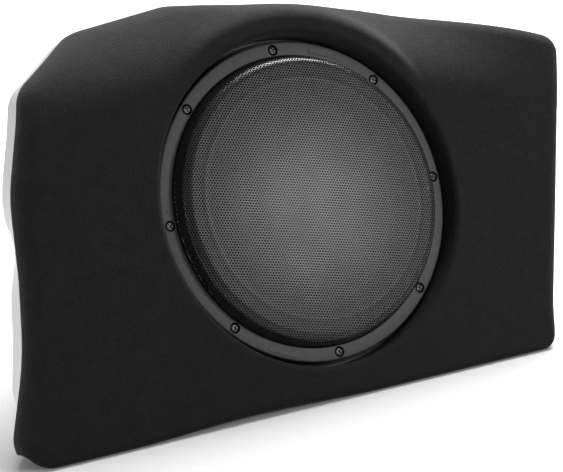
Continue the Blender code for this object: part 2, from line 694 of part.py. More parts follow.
# --- Moving assembly, its parent empty on the woofer axis ---
cone_frame = bpy.data.objects.new("cone_frame", None)
scene_collection.objects.link(cone_frame)
cone_frame.parent = face_frame
neck_r = COIL_R + FIT_GAP
cone_top = ledge + FIT_GAP + 1.8 * MM
neck_low = cone_top + 42 * MM
cone_t = 1.8 * MM
cone_profile = [
    (CONE_R + 1 * MM, -cone_top),
    (CONE_R + 1 * MM, -cone_top - cone_t),
    (CONE_R - 5 * MM, -cone_top - cone_t),
    (neck_r + 2 * MM, -neck_low - cone_t),
    (neck_r, -neck_low - cone_t),
    (neck_r, -neck_low),
    (CONE_R * 0.62, -cone_top - 15.5 * MM),
    (CONE_R - 5 * MM, -cone_top),
]
place("woofer_cone", lathe("woofer_cone", cone_profile, 36), cone_frame, cone_look)
cap_r = 0.44 * CONE_R


def cone_front(radius):
    """Depth of the cone's front face at a radius."""
    knee = CONE_R * 0.62
    knee_z = cone_top + 15.5 * MM
    return neck_low + (knee_z - neck_low) * (radius - neck_r) / (knee - neck_r)


cap_z = cone_front(cap_r) - FIT_GAP - 0.4 * MM
cap_profile = []
for k in range(6):
    a = k / 5
    cap_profile.append((cap_r * (1 - a), -cap_z + 13 * MM * (1 - (1 - a) ** 2)))
for k in range(5, -1, -1):
    a = k / 5
    cap_profile.append(((cap_r - 1.4 * MM) * (1 - a), -cap_z + 13 * MM * (1 - (1 - a) ** 2) - 1.2 * MM * a))
place("dust_cap", lathe("dust_cap", cap_profile, 24), cone_frame, cap_look)

former_low = plate_top + PLATE_T + 5.5 * MM
former_profile = [
    (COIL_R, -neck_low + 1 * MM),
    (COIL_R, -former_low),
    (COIL_R - 0.8 * MM, -former_low),
    (COIL_R - 0.8 * MM, -neck_low + 1 * MM),
]
place("coil_former", lathe("coil_former", former_profile, 32), cone_frame, former_look)
coil_profile = [
    (COIL_R + FIT_GAP, -former_low + 18.5 * MM),
    (COIL_R + 1.8 * MM, -former_low + 18.5 * MM),
    (COIL_R + 1.8 * MM, -former_low + 0.8 * MM),
    (COIL_R + FIT_GAP, -former_low + 0.8 * MM),
]
place("voice_coil", lathe("voice_coil", coil_profile, 32), cone_frame, copper_look)

surround_out = body_r
surround_foot = ledge - FIT_GAP
roll_in = CONE_R - 5 * MM
roll_top = []
roll_under = []
roll_mid = (surround_out - 8.5 * MM + CONE_R + 1.5 * MM) / 2
roll_half = (surround_out - 8.5 * MM - CONE_R - 1.5 * MM) / 2
rubber_t = 1.4 * MM
base_z = -cone_top + FIT_GAP
for k in range(6):
    a = math.pi * k / 5
    roll_top.append((roll_mid + (roll_half + 0.5 * rubber_t) * math.cos(a), base_z + rubber_t + (roll_half) * math.sin(a)))
    roll_under.append((roll_mid + (roll_half - 0.5 * rubber_t) * math.cos(a), base_z + (roll_half - 0.2 * MM) * math.sin(a)))
surround_profile = [(surround_out, -surround_foot), (surround_out, -surround_foot + rubber_t)]
surround_profile += roll_top
surround_profile += [(roll_in, base_z + rubber_t), (roll_in, base_z)]
surround_profile += roll_under[::-1]
surround_profile[-1] = (roll_under[0][0], -surround_foot)
surround_profile[2] = (roll_top[0][0], -surround_foot + rubber_t)
place("surround", lathe("surround", surround_profile, 36), face_frame, rubber_look)

spider_in = COIL_R + FIT_GAP
spider_out = shelf_r - 1 * MM
spider_z = -shelf_low + FIT_GAP
spider_t = 1.0 * MM
waves = 3
spider_top = []
spider_low = []
steps = waves * 3
for k in range(steps + 1):
    r = spider_in + 2.5 * MM + (skirt_r - sheet - 1 * MM - spider_in - 2.5 * MM) * k / steps
    wave = 1.6 * MM * math.sin(2 * math.pi * waves * k / steps) + 1.7 * MM * math.sin(math.pi * k / steps)
    spider_top.append((r, spider_z + spider_t + wave))
    spider_low.append((r, spider_z + wave))
spider_profile = [(spider_in, spider_z), (spider_in, spider_z + spider_t)] + spider_top
spider_profile += [(spider_out, spider_z + spider_t), (spider_out, spider_z)] + spider_low[::-1]
place("spider", lathe("spider", spider_profile, 28), face_frame, spider_look)

# --- Terminal block on the basket skirt, and the leads ---
block_low = floor_z + 1 * MM
block_high = shelf_low + sheet + 2 * MM
block_mesh = box("terminal_block", (13 * MM, 30 * MM, block_low - block_high))
place("terminal_block", block_mesh, face_frame, block_look,
      (skirt_r + FIT_GAP + 6.8 * MM, 0, -(block_low + block_high) / 2))


def tube(name, points, radius, look, parent, sides=3):
    """A wire as a curve with a round bevel and filled ends, read from a smooth run of points."""
    fine = []
    count = len(points)
    for i in range(count - 1):
        p0 = points[max(i - 1, 0)]
        p1 = points[i]
        p2 = points[i + 1]
        p3 = points[min(i + 2, count - 1)]
        for k in range(4):
            t = k / 4
            fine.append(0.5 * ((2 * p1) + (p2 - p0) * t + (2 * p0 - 5 * p1 + 4 * p2 - p3) * t * t
                               + (3 * p1 - p0 - 3 * p2 + p3) * t ** 3))
    fine.append(points[-1])
    data = bpy.data.curves.new(name, "CURVE")
    data.dimensions = "3D"
    data.bevel_depth = radius
    data.bevel_resolution = sides - 1
    data.use_fill_caps = True
    line = data.splines.new("POLY")
    line.points.add(len(fine) - 1)
    for spot, p in zip(line.points, fine):
        spot.co = (*p, 1)
    made = bpy.data.objects.new(name, data)
    scene_collection.objects.link(made)
    made.parent = parent or root
    data.materials.append(look)
    return made


# --- Amplifier ---
cut_w = AMP_W - 16 * MM
cut_h = AMP_H - 16 * MM
opening = cutter("amp_opening_cutter", box("amp_opening_cutter", (cut_w, cut_h, 60 * MM)), amp_frame)
boolean(rear_shell, opening)
seal_z = FIT_GAP
panel_z = seal_z + AMP_SEAL_T + FIT_GAP
panel_face = panel_z + AMP_PANEL_T


def rounded_rect(width, height, radius, steps=4):
    found = []
    for cx, cy, start in ((1, 1, 0), (-1, 1, 90), (-1, -1, 180), (1, -1, 270)):
        for k in range(steps + 1):
            a = math.radians(start + 90 * k / steps)
            x = cx * (width / 2 - radius) + radius * math.cos(a)
            y = cy * (height / 2 - radius) + radius * math.sin(a)
            found.append((x, y))
    return found


seal_mesh = prism("amp_gasket", rounded_rect(AMP_W, AMP_H, 7 * MM), seal_z, seal_z + AMP_SEAL_T)
amp_gasket = place("amp_gasket", seal_mesh, amp_frame, foam_look)
boolean(amp_gasket, opening)
panel_mesh = prism("amp_panel", rounded_rect(AMP_W, AMP_H, 7 * MM), panel_z, panel_face)
amp_panel = place("amp_panel", panel_mesh, amp_frame, alloy_look)

amp_screw_x = AMP_W / 2 - 4.6 * MM
amp_screw_y = AMP_H / 2 - 4.6 * MM
amp_screw_spots = [(sx * amp_screw_x, sy * amp_screw_y) for sx in (-1, 1) for sy in (-1, 1)]
amp_bore_r = 1.7 * MM
amp_holes = cutter(
    "amp_screw_cutter",
    cylinders("amp_screw_cutter", amp_screw_spots, amp_bore_r + FIT_GAP, -0.03, 0.03, 10),
    amp_frame,
)
boolean(amp_gasket, amp_holes)
boolean(amp_panel, amp_holes)
boolean(rear_shell, amp_holes)
amp_screw_profile = [
    (0, -7.5 * MM),
    (amp_bore_r * 0.4, -7.5 * MM),
    (amp_bore_r, -5 * MM),
    (amp_bore_r, panel_face + FIT_GAP),
    (3.3 * MM, panel_face + FIT_GAP),
    (3.3 * MM, panel_face + 1.4 * MM),
    (1.9 * MM, panel_face + 2.4 * MM),
    (1.2 * MM, panel_face + 2.4 * MM),
    (1.2 * MM, panel_face + 1.2 * MM),
    (0, panel_face + 1.2 * MM),
]
amp_screw_mesh = lathe("amp_screw", amp_screw_profile, 8)
amp_screw_mesh.materials.append(screw_look)
for k, (x, y) in enumerate(amp_screw_spots):
    place(f"amp_screw_{k + 1}", amp_screw_mesh, amp_frame, None, (x, y, 0))

# Heatsink: a comb-shaped extrusion bolted to the panel's lower half
sink_w = AMP_W - 22 * MM
sink_low = -AMP_H / 2 + 11 * MM
sink_high = 10 * MM
fin_t = 2.2 * MM
sink_base = 3 * MM
sink_back = panel_face + FIT_GAP
comb = [(-sink_w / 2, sink_back), (sink_w / 2, sink_back)]
fin_gap = (sink_w - fin_t) / (FIN_COUNT - 1)
for k in range(FIN_COUNT - 1, -1, -1):
    left = -sink_w / 2 + fin_gap * k
    comb.append((left + fin_t, sink_back + sink_base))
    comb.append((left + fin_t * 0.85, sink_back + sink_base + FIN_HEIGHT))
    comb.append((left + fin_t * 0.15, sink_back + sink_base + FIN_HEIGHT))
    comb.append((left, sink_back + sink_base))
comb = [p for i, p in enumerate(comb) if i == 0 or (Vector(p) - Vector(comb[i - 1])).length > 1e-6]
heatsink = place("heatsink", prism("heatsink", comb, sink_low, sink_high), amp_frame, alloy_look)
# The comb is drawn in (x, z) and extruded up the panel.
heatsink.data.transform(Matrix(((1, 0, 0, 0), (0, 0, 1, 0), (0, 1, 0, 0), (0, 0, 0, 1))))
heatsink.data.flip_normals()

# Inner housing, open towards the panel, inside the enclosure
house_w = cut_w - 1.5 * MM
house_h = cut_h - 1.5 * MM
house_t = 1.2 * MM
house_front = panel_z - FIT_GAP
housing_mesh = box("amp_housing", (house_w, house_h, AMP_BOX_DEPTH), (0, 0, house_front - AMP_BOX_DEPTH / 2))
amp_housing = place("amp_housing", housing_mesh, amp_frame, steel_box_look)
hollow_mesh = box(
    "housing_cutter",
    (house_w - 2 * house_t, house_h - 2 * house_t, AMP_BOX_DEPTH),
    (0, 0, house_front - AMP_BOX_DEPTH / 2 + house_t),
)
boolean(amp_housing, cutter("housing_cutter", hollow_mesh, amp_frame))

# Controls along the top of the panel: knobs, switches, connectors
knob_y = AMP_H / 2 - 19 * MM
knob_x = [AMP_W / 2 - 24 * MM - KNOB_PITCH * k for k in range(3)]
knob_names = ("gain_knob", "crossover_knob", "bass_knob")
switch_y = knob_y - 24 * MM
switch_x = [knob_x[0], knob_x[1]]
switch_names = ("phase_switch", "input_switch")
switch_travel = 4 * MM
hole_bm = bmesh.new()
for x in knob_x:
    bmesh.ops.create_cone(
        hole_bm, cap_ends=True, segments=16, radius1=SHAFT_R + FIT_GAP, radius2=SHAFT_R + FIT_GAP,
        depth=20 * MM, matrix=Matrix.Translation((x, knob_y, panel_face)),
    )
for x in switch_x:
    made = bmesh.ops.create_cube(hole_bm, size=1.0)["verts"]
    bmesh.ops.scale(hole_bm, vec=(6 * MM + switch_travel, 4.6 * MM, 20 * MM), verts=made)
    bmesh.ops.translate(hole_bm, vec=(x, switch_y, panel_face), verts=made)
boolean(amp_panel, cutter("control_cutter", to_mesh("control_cutter", hole_bm), amp_frame))

block_face = panel_z - FIT_GAP
control_w = KNOB_PITCH * 2 + 20 * MM
control_h = knob_y - switch_y + 18 * MM
control_depth = 13 * MM
control_mesh = box(
    "control_block",
    (control_w, control_h, control_depth),
    (knob_x[1], (knob_y + switch_y) / 2, block_face - control_depth / 2),
)
control_block = place("control_block", control_mesh, amp_frame, block_look)
socket_bm = bmesh.new()
socket_depth = 7 * MM
for x in knob_x:
    bmesh.ops.create_cone(
        socket_bm, cap_ends=True, segments=16, radius1=SHAFT_R + FIT_GAP, radius2=SHAFT_R + FIT_GAP,
        depth=2 * socket_depth, matrix=Matrix.Translation((x, knob_y, block_face)),
    )
for x in switch_x:
    made = bmesh.ops.create_cube(socket_bm, size=1.0)["verts"]
    bmesh.ops.scale(socket_bm, vec=(6 * MM + switch_travel, 4.6 * MM, 2 * socket_depth), verts=made)
    bmesh.ops.translate(socket_bm, vec=(x, switch_y, block_face), verts=made)
boolean(control_block, cutter("socket_cutter", to_mesh("socket_cutter", socket_bm), amp_frame))

knob_low = panel_face + 0.8 * MM
knob_profile = [
    (0, block_face - socket_depth + FIT_GAP),
    (SHAFT_R, block_face - socket_depth + FIT_GAP),
    (SHAFT_R, knob_low),
    (KNOB_R, knob_low),
    (KNOB_R * 0.92, knob_low + KNOB_H - 0.8 * MM),
    (KNOB_R * 0.78, knob_low + KNOB_H),
    (0, knob_low + KNOB_H),
]
pointer = box("pointer_cutter", (0.9 * MM, KNOB_R, 2 * MM), (0, KNOB_R * 0.62, knob_low + KNOB_H))
for k, x in enumerate(knob_x):
    knob_mesh = lathe(knob_names[k], knob_profile, 18)
    knob = place(knob_names[k], knob_mesh, amp_frame, knob_look, (x, knob_y, 0))
    boolean(knob, cutter(f"pointer_cutter_{k + 1}", pointer, amp_frame, (x, knob_y, 0)))

for k, x in enumerate(switch_x):
    stem_low = block_face - socket_depth + FIT_GAP
    stem_mesh = box(
        switch_names[k],
        (6 * MM - 2 * FIT_GAP, 4.6 * MM - 2 * FIT_GAP, panel_face + 2.4 * MM - stem_low),
        (-switch_travel / 2, 0, (panel_face + 2.4 * MM + stem_low) / 2),
    )
    place(switch_names[k], stem_mesh, amp_frame, switch_look, (x, switch_y, 0))

plug_x = -AMP_W / 2 + 34 * MM
power_mesh = box("power_terminals", (44 * MM, 15 * MM, 14 * MM), (0, 0, 7 * MM))
power = place("power_terminals", power_mesh, amp_frame, block_look, (plug_x, knob_y, panel_face + FIT_GAP))
entry_bm = bmesh.new()
for k in range(3):
    made = bmesh.ops.create_cube(entry_bm, size=1.0)["verts"]
    bmesh.ops.scale(entry_bm, vec=(10 * MM, 9 * MM, 9 * MM), verts=made)
    bmesh.ops.translate(entry_bm, vec=((k - 1) * 13.5 * MM, 0, 14 * MM), verts=made)
entry_cutter = cutter("entry_cutter", to_mesh("entry_cutter", entry_bm), amp_frame, (plug_x, knob_y, panel_face + FIT_GAP))
boolean(power, entry_cutter)

fuse_x = [plug_x - 12 * MM, plug_x + 6 * MM]
for k, x in enumerate(fuse_x):
    fuse_mesh = box(f"fuse_{k + 1}", (14 * MM, 5 * MM, 9 * MM), (0, 0, 4.5 * MM))
    place(f"fuse_{k + 1}", fuse_mesh, amp_frame, fuse_look, (x, switch_y + 4 * MM, panel_face + FIT_GAP))

jack_x = plug_x + 38 * MM
jack_pitch = 15 * MM
jack_where = (jack_x, knob_y - 11 * MM, panel_face + FIT_GAP)
jack_base = box("rca_jacks", (12 * MM, jack_pitch + 12 * MM, 3 * MM), (0, 0, 1.5 * MM))
rca_jacks = place("rca_jacks", jack_base, amp_frame, block_look, jack_where)
barrel_profile = [
    (0, 2 * MM), (4.1 * MM, 2 * MM), (4.1 * MM, 10 * MM), (2.0 * MM, 10 * MM), (2.0 * MM, 4 * MM), (0, 4 * MM),
]
for k in (-0.5, 0.5):
    barrel = lathe("jack_barrel", barrel_profile, 16)
    where = (jack_where[0], jack_where[1] + k * jack_pitch, jack_where[2])
    boolean(rca_jacks, cutter(f"jack_barrel_{int(k + 1.5)}", barrel, amp_frame, where), "UNION")

led_mesh = lathe("status_led", [
    (0, panel_z - 1 * MM), (1.4 * MM, panel_z - 1 * MM), (1.4 * MM, panel_face + 1.2 * MM), (0.8 * MM, panel_face + 2 * MM),
    (0, panel_face + 2 * MM)], 12)
led_spot = (knob_x[2], switch_y + 2 * MM)
place("status_led", led_mesh, amp_frame, led_look, (*led_spot, 0))
led_cut = cylinders("led_cutter", [(0, 0)], 1.4 * MM + FIT_GAP, panel_z - 2 * MM, panel_face + 5 * MM, 12)
led_cutter = cutter("led_cutter", led_cut, amp_frame, (*led_spot, 0))
boolean(amp_panel, led_cutter)
boolean(control_block, led_cutter)

# Circuit board low in the housing, its parts standing on it
board_y = -house_h / 2 + 9 * MM
board_t = 1.6 * MM
board_depth = AMP_BOX_DEPTH - 8 * MM
board_mid_z = house_front - 3 * MM - board_depth / 2
board_w = house_w - 8 * MM
board_mesh = box("circuit_board", (board_w, board_t, board_depth), (0, board_y, board_mid_z))
place("circuit_board", board_mesh, amp_frame, board_look)
on_board = board_y + board_t / 2 + FIT_GAP


def upright(name, profile, steps, look, x, z):
    """A turned part that stands on the board, its axis up the panel."""
    made = place(name, lathe(name, profile, steps), amp_frame, look, (x, on_board, z))
    made.rotation_euler = (-math.pi / 2, 0, 0)
    return made


toroid_profile = []
for k in range(8):
    a = 2 * math.pi * k / 8 + math.pi / 8
    toroid_profile.append((13 * MM + 7 * MM * math.cos(a), 8 * MM + 8 * MM * math.sin(a) * 0.98))
lowest = min(z for _, z in toroid_profile)
toroid_profile = [(r, z - lowest) for r, z in toroid_profile]
upright("transformer", toroid_profile, 24, toroid_look, -board_w / 2 + 25 * MM, board_mid_z)
cap_can = [
    (0, 0), (8 * MM, 0), (8 * MM, 1.5 * MM), (7.4 * MM, 2.2 * MM), (8 * MM, 3 * MM),
    (8 * MM, 27 * MM), (7 * MM, 28 * MM), (0, 28 * MM),
]
for k in range(2):
    upright(f"capacitor_{k + 1}", cap_can, 16, can_look, 4 * MM + 22 * MM * k, board_mid_z - 8 * MM)
for k in range(2):
    chip = box(f"power_transistor_{k + 1}", (15 * MM, 20 * MM, 5 * MM),
               ((32 + 20 * k - 30) * MM, 0, 0))
    place(f"power_transistor_{k + 1}", chip, amp_frame, chip_look,
          (-4 * MM, on_board + 10 * MM, panel_z - FIT_GAP - 2.5 * MM))

# --- Speaker wires: amplifier housing to the terminal block ---
block_end = face_matrix @ Vector((skirt_r + FIT_GAP + 13.3 * MM + 3 * FIT_GAP, 0, -(block_low + block_high) / 2))
housing_end = Vector((AMP_X - house_w / 2 + 30 * MM, DEPTH_BACK + house_front - AMP_BOX_DEPTH - 3 * FIT_GAP, AMP_Z + 20 * MM))
for name, look, side in (("speaker_wire_red", red_look, 1), ("speaker_wire_black", black_wire_look, -1)):
    start = block_end + face_matrix.to_3x3() @ Vector((0, side * 7 * MM, 0))
    end = housing_end + Vector((0, 0, side * 5 * MM))
    route = [
        start,
        start + Vector((9 * MM, 0, 0)),
        start.lerp(end, 0.55) + Vector((10 * MM, -8 * MM, side * 1 * MM)),
        end + Vector((0, -10 * MM, 0)),
        end,
    ]
    tube(name, route, 1.3 * MM, look, None)

# Tinsel leads: from inside the basket skirt line up to the underside of the cone
for name, side in (("tinsel_lead_1", 1), ("tinsel_lead_2", -1)):
    lead_rise = 6.5 * MM
    wall_slope = (body_r - 5 * MM - shelf_r) / (shelf_low - ledge - 2.2 * MM)
    lead_r = shelf_r + lead_rise * wall_slope - 2.4 * MM
    start = Vector((lead_r, side * 9 * MM, -shelf_low + lead_rise))
    end_r = 0.60 * CONE_R
    end = Vector((end_r, side * 7 * MM, -cone_front(end_r) - cone_t - 5.5 * MM))
    route = [
        start,
        start + Vector((-7 * MM, 0, 3 * MM)),
        start.lerp(end, 0.6) + Vector((0, side * 1 * MM, -1 * MM)),
        end,
    ]
    tube(name, route, 0.8 * MM, copper_look, face_frame)

# --- Floor brackets: foot flat on the floor, upright against the back wall ---
foot_y = DEPTH_BACK + FIT_GAP
for k, x in enumerate(BRACKET_X):
    angle = [
        (0, 0),
        (BRACKET_FOOT, 0),
        (BRACKET_FOOT, BRACKET_T),
        (BRACKET_T + 2 * MM, BRACKET_T),
        (BRACKET_T, BRACKET_T + 2 * MM),
        (BRACKET_T, BRACKET_RISE),
        (0, BRACKET_RISE),
    ]
    mesh = prism(f"floor_bracket_{k + 1}", angle, -BRACKET_W / 2, BRACKET_W / 2)
    bracket = place(f"floor_bracket_{k + 1}", mesh, None, bracket_look, (x, foot_y, 0))
    # Drawn in (y, z) and extruded across: turn it so that the foot points back.
    bracket.data.transform(Matrix(((0, 0, 1, 0), (1, 0, 0, 0), (0, 1, 0, 0), (0, 0, 0, 1))))
    slot = cylinders(f"bracket_hole_{k + 1}", [(0, BRACKET_FOOT * 0.66)], 3.3 * MM, -0.01, 0.01, 14)
    boolean(bracket, cutter(f"bracket_hole_{k + 1}", slot, None, (x, foot_y, 0)))
    bolt_z = BRACKET_RISE * 0.66
    drill = lathe(f"bracket_drill_{k + 1}", [(0, -0.03), (2.5 * MM + FIT_GAP, -0.03), (2.5 * MM + FIT_GAP, 0.03), (0, 0.03)], 12)
    drill_tool = cutter(f"bracket_drill_{k + 1}", drill, None, (x, foot_y, bolt_z))
    drill_tool.rotation_euler = (-math.pi / 2, 0, 0)
    boolean(bracket, drill_tool)
    boolean(rear_shell, drill_tool)
    bolt_profile = [
        (0, -12 * MM), (2.5 * MM, -12 * MM), (2.5 * MM, BRACKET_T + FIT_GAP), (5 * MM, BRACKET_T + FIT_GAP),
        (5 * MM, BRACKET_T + 3.2 * MM), (3.8 * MM, BRACKET_T + 4 * MM), (0, BRACKET_T + 4 * MM),
    ]
    bolt = place(f"bracket_bolt_{k + 1}", lathe(f"bracket_bolt_{k + 1}", bolt_profile, 12), None, screw_look,
                 (x, foot_y, bolt_z))
    bolt.rotation_euler = (-math.pi / 2, 0, 0)
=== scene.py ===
# %% [markdown]
# # A powered car subwoofer, finished in Blender
# The enclosure is a carpeted front moulding bonded to a bare fibreglass rear shell, with a
# woofer behind a perforated steel pan and a plate amplifier in the back wall. The packed
# model already holds every size, so this file only loads it and builds the fine surfaces.

# %% Load the frame
import json
import math

import bmesh
import bpy
import numpy as np
from mathutils import Matrix, Vector, noise

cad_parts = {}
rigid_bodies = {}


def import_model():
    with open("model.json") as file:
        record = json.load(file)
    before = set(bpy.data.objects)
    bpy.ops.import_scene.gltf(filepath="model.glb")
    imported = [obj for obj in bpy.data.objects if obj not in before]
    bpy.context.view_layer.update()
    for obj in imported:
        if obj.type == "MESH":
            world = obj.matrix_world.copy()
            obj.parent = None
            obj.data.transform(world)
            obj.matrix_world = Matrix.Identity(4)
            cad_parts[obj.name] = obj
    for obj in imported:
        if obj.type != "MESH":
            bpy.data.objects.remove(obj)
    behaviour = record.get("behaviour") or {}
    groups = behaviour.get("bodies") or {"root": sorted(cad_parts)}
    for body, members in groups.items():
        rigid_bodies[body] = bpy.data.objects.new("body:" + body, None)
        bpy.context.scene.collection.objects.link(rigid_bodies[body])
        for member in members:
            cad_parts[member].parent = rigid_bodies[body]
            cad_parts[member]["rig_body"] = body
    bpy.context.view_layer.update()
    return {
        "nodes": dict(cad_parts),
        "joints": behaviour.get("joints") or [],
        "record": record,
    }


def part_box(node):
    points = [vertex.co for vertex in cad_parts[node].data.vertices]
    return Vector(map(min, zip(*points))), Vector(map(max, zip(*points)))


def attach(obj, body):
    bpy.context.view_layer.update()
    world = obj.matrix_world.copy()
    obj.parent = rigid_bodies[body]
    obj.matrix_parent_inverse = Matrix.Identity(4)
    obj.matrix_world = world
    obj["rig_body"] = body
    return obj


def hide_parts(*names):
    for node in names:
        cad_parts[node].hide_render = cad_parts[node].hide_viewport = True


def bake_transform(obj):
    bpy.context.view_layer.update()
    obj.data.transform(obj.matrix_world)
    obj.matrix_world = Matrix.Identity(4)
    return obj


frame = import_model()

nodes = frame["nodes"]

# %% [markdown]
# ## The face frame
# Everything on the woofer axis is easiest to build in a frame of its own: x across the face,
# y up it, z out of it. The axis is the cone's sliding joint, and the top plate of the motor,
# a plain turned ring, marks a point on it whose depth is known.

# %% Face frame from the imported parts
MM = 0.001
joint_axis = next(j["axis"] for j in frame["joints"] if j["name"] == "cone_travel")
normal = Vector(joint_axis).normalized()
FACE_LEAN = math.asin(normal.z)
up_face = Vector((0, math.sin(FACE_LEAN), math.cos(FACE_LEAN)))
PLATE_MID_DEPTH = 98.1 * MM          # middle of the top plate below the carpet plane
plate_low, plate_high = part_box("top_plate")
face_origin = (plate_low + plate_high) / 2 + normal * PLATE_MID_DEPTH
face_matrix = Matrix((
    (1, up_face.x, normal.x, face_origin.x),
    (0, up_face.y, normal.y, face_origin.y),
    (0, up_face.z, normal.z, face_origin.z),
    (0, 0, 0, 1),
))
print("face origin:", [round(c, 5) for c in face_origin], "lean:", round(math.degrees(FACE_LEAN), 2))

# %% [markdown]
# ## Camera and studio
# The object stands on a pale floor. A long lens from the left and a little above keeps the
# ellipse of the speaker true. A strong soft box hangs over and behind the object, so that the
# top and the scoops catch it and the face doesn't. A small one behind on the right lines the
# right rim, a weaker one stands to the left, and another stands where the grille mirrors it
# into the lens, which puts the glow on the dome.

# %% Camera
def linked(name, data):
    """An object that holds the data, linked into the scene."""
    made = bpy.data.objects.new(name, data)
    bpy.context.scene.collection.objects.link(made)
    return made


CAMERA_AZIMUTH = math.radians(-31.34)
CAMERA_ELEVATION = math.radians(18.87)
CAMERA_DISTANCE = 1.8697
CAMERA_AIM = face_origin + Vector((-0.02306, 0.01532, -0.03445))
view_back = Vector((
    math.sin(CAMERA_AZIMUTH) * math.cos(CAMERA_ELEVATION),
    -math.cos(CAMERA_AZIMUTH) * math.cos(CAMERA_ELEVATION),
    math.sin(CAMERA_ELEVATION),
))
camera_data = bpy.data.cameras.new("camera")
camera_data.lens = 140.0
camera_data.sensor_width = 36.0
camera_data.clip_end = 50.0
camera = linked("camera", camera_data)
camera.location = CAMERA_AIM + view_back * CAMERA_DISTANCE
camera.rotation_euler = (-view_back).to_track_quat("-Z", "Y").to_euler()
bpy.context.scene.camera = camera
print("camera at", [round(c, 3) for c in camera.location])

# %% Lights, world and floor
bpy.context.scene.view_settings.view_transform = "Standard"
world = bpy.data.worlds.new("studio")
bpy.context.scene.world = world
world.use_nodes = True
world.node_tree.nodes["Background"].inputs["Color"].default_value = (1.0, 1.0, 1.0, 1.0)
world.node_tree.nodes["Background"].inputs["Strength"].default_value = 0.42


def soft_box(name, where, aim, width, height, watts):
    """A rectangular studio light at one point, turned to face another."""
    data = bpy.data.lights.new(name, "AREA")
    data.shape = "RECTANGLE"
    data.size = width
    data.size_y = height
    data.energy = watts
    light = linked(name, data)
    light.location = where
    light.rotation_euler = (Vector(aim) - Vector(where)).to_track_quat("-Z", "Y").to_euler()


soft_box("overhead", (0.78, 0.80, 1.68), (0.05, 0, 0.2), 1.7, 1.3, 158)
soft_box("right_rim", (1.60, 1.28, 0.85), (0.05, -0.05, 0.2), 0.4, 0.4, 12)
soft_box("left", (-2.4, 0.25, 0.35), (0, 0, 0.15), 0.8, 0.6, 42)
mirror_way = (2 * normal.dot(view_back) * normal - view_back).normalized()
soft_box("grille_glow", face_origin + mirror_way * 2.2, face_origin, 0.5, 0.5, 20)


def plain_sheet(name, size, height):
    """One square face, level, for the studio floor."""
    mesh = bpy.data.meshes.new(name)
    half = size / 2
    mesh.from_pydata([(-half, -half, height), (half, -half, height), (half, half, height),
                      (-half, half, height)], [], [(0, 1, 2, 3)])
    return linked(name, mesh)


floor = plain_sheet("studio_floor", 14.0, 0.0)

# %% [markdown]
# ## Shader node groups
# Several finishes share an effect: the pebble grain of moulded plastic, the fine lines of
# brushed metal, dust that settles on upward faces, and worn edges. Each is built once as a
# node group that puts out masks and heights, and every material places it with its own values.


# %% Helper that opens a node group
def node_group(name, inputs, outputs):
    """A new shader group; inputs are (name, default), outputs are names of float sockets."""
    tree = bpy.data.node_groups.new(name, "ShaderNodeTree")
    for label, default in inputs:
        socket = tree.interface.new_socket(label, in_out="INPUT", socket_type="NodeSocketFloat")
        socket.default_value = default
    for label in outputs:
        tree.interface.new_socket(label, in_out="OUTPUT", socket_type="NodeSocketFloat")
    return tree, tree.nodes.new("NodeGroupInput"), tree.nodes.new("NodeGroupOutput")


def math_node(tree, operation, a, b=None, c=None, clamp=False):
    """A Math node whose inputs are sockets or numbers; returns its output."""
    made = tree.nodes.new("ShaderNodeMath")
    made.operation = operation
    made.use_clamp = clamp
    for socket, value in zip(made.inputs, (a, b, c)):
        if value is None:
            continue
        if isinstance(value, (int, float)):
            socket.default_value = value
        else:
            tree.links.new(value, socket)
    return made.outputs[0]


def noise_node(tree, coordinates, scale, detail=3.0, rough=0.5, stretch=None):
    """A Noise Texture on object coordinates; stretch scales the axes before it."""
    if stretch is not None:
        mapping = tree.nodes.new("ShaderNodeMapping")
        mapping.inputs["Scale"].default_value = stretch
        tree.links.new(coordinates, mapping.inputs["Vector"])
        coordinates = mapping.outputs[0]
    made = tree.nodes.new("ShaderNodeTexNoise")
    tree.links.new(coordinates, made.inputs["Vector"])
    if isinstance(scale, (int, float)):
        made.inputs["Scale"].default_value = scale
    else:
        tree.links.new(scale, made.inputs["Scale"])
    made.inputs["Detail"].default_value = detail
    made.inputs["Roughness"].default_value = rough
    return made.outputs["Fac"]


def object_coordinates(tree):
    """The coordinates of the object itself, so a pattern moves with its piece."""
    return tree.nodes.new("ShaderNodeTexCoord").outputs["Object"]


def ramp(tree, value, low, high):
    """Map a value from low..high on to 0..1, smoothly."""
    made = tree.nodes.new("ShaderNodeMapRange")
    made.interpolation_type = "SMOOTHSTEP"
    tree.links.new(value, made.inputs["Value"])
    made.inputs["From Min"].default_value = low
    made.inputs["From Max"].default_value = high
    return made.outputs["Result"]


# %% Group: moulded grain
grain_group, grain_in, grain_out = node_group("moulded_grain", [("Scale", 900.0)], ["Height", "Patches"])
grain_cells = grain_group.nodes.new("ShaderNodeTexVoronoi")
grain_cells.feature = "SMOOTH_F1"
grain_at = object_coordinates(grain_group)
grain_group.links.new(grain_at, grain_cells.inputs["Vector"])
grain_group.links.new(grain_in.outputs["Scale"], grain_cells.inputs["Scale"])
FINER = 2.3                           # the fine grain is this much finer than the pebbles
fine_scale = math_node(grain_group, "MULTIPLY", grain_in.outputs["Scale"], FINER)
fine_grain = noise_node(grain_group, grain_at, fine_scale)
grain_sum = math_node(grain_group, "MULTIPLY_ADD", fine_grain, 0.5, grain_cells.outputs["Distance"])
grain_group.links.new(grain_sum, grain_out.inputs["Height"])
grain_group.links.new(noise_node(grain_group, grain_at, 28.0, 4.0), grain_out.inputs["Patches"])
print("group:", grain_group.name)

# %% Group: brushed lines
brush_group, brush_in, brush_out = node_group("brushed_lines", [("Scale", 300.0)], ["Lines"])
brush_at = object_coordinates(brush_group)
brush_lines = noise_node(brush_group, brush_at, brush_in.outputs["Scale"], 5.0, 0.7, (0.03, 1.0, 1.0))
brush_group.links.new(brush_lines, brush_out.inputs["Lines"])
print("group:", brush_group.name)

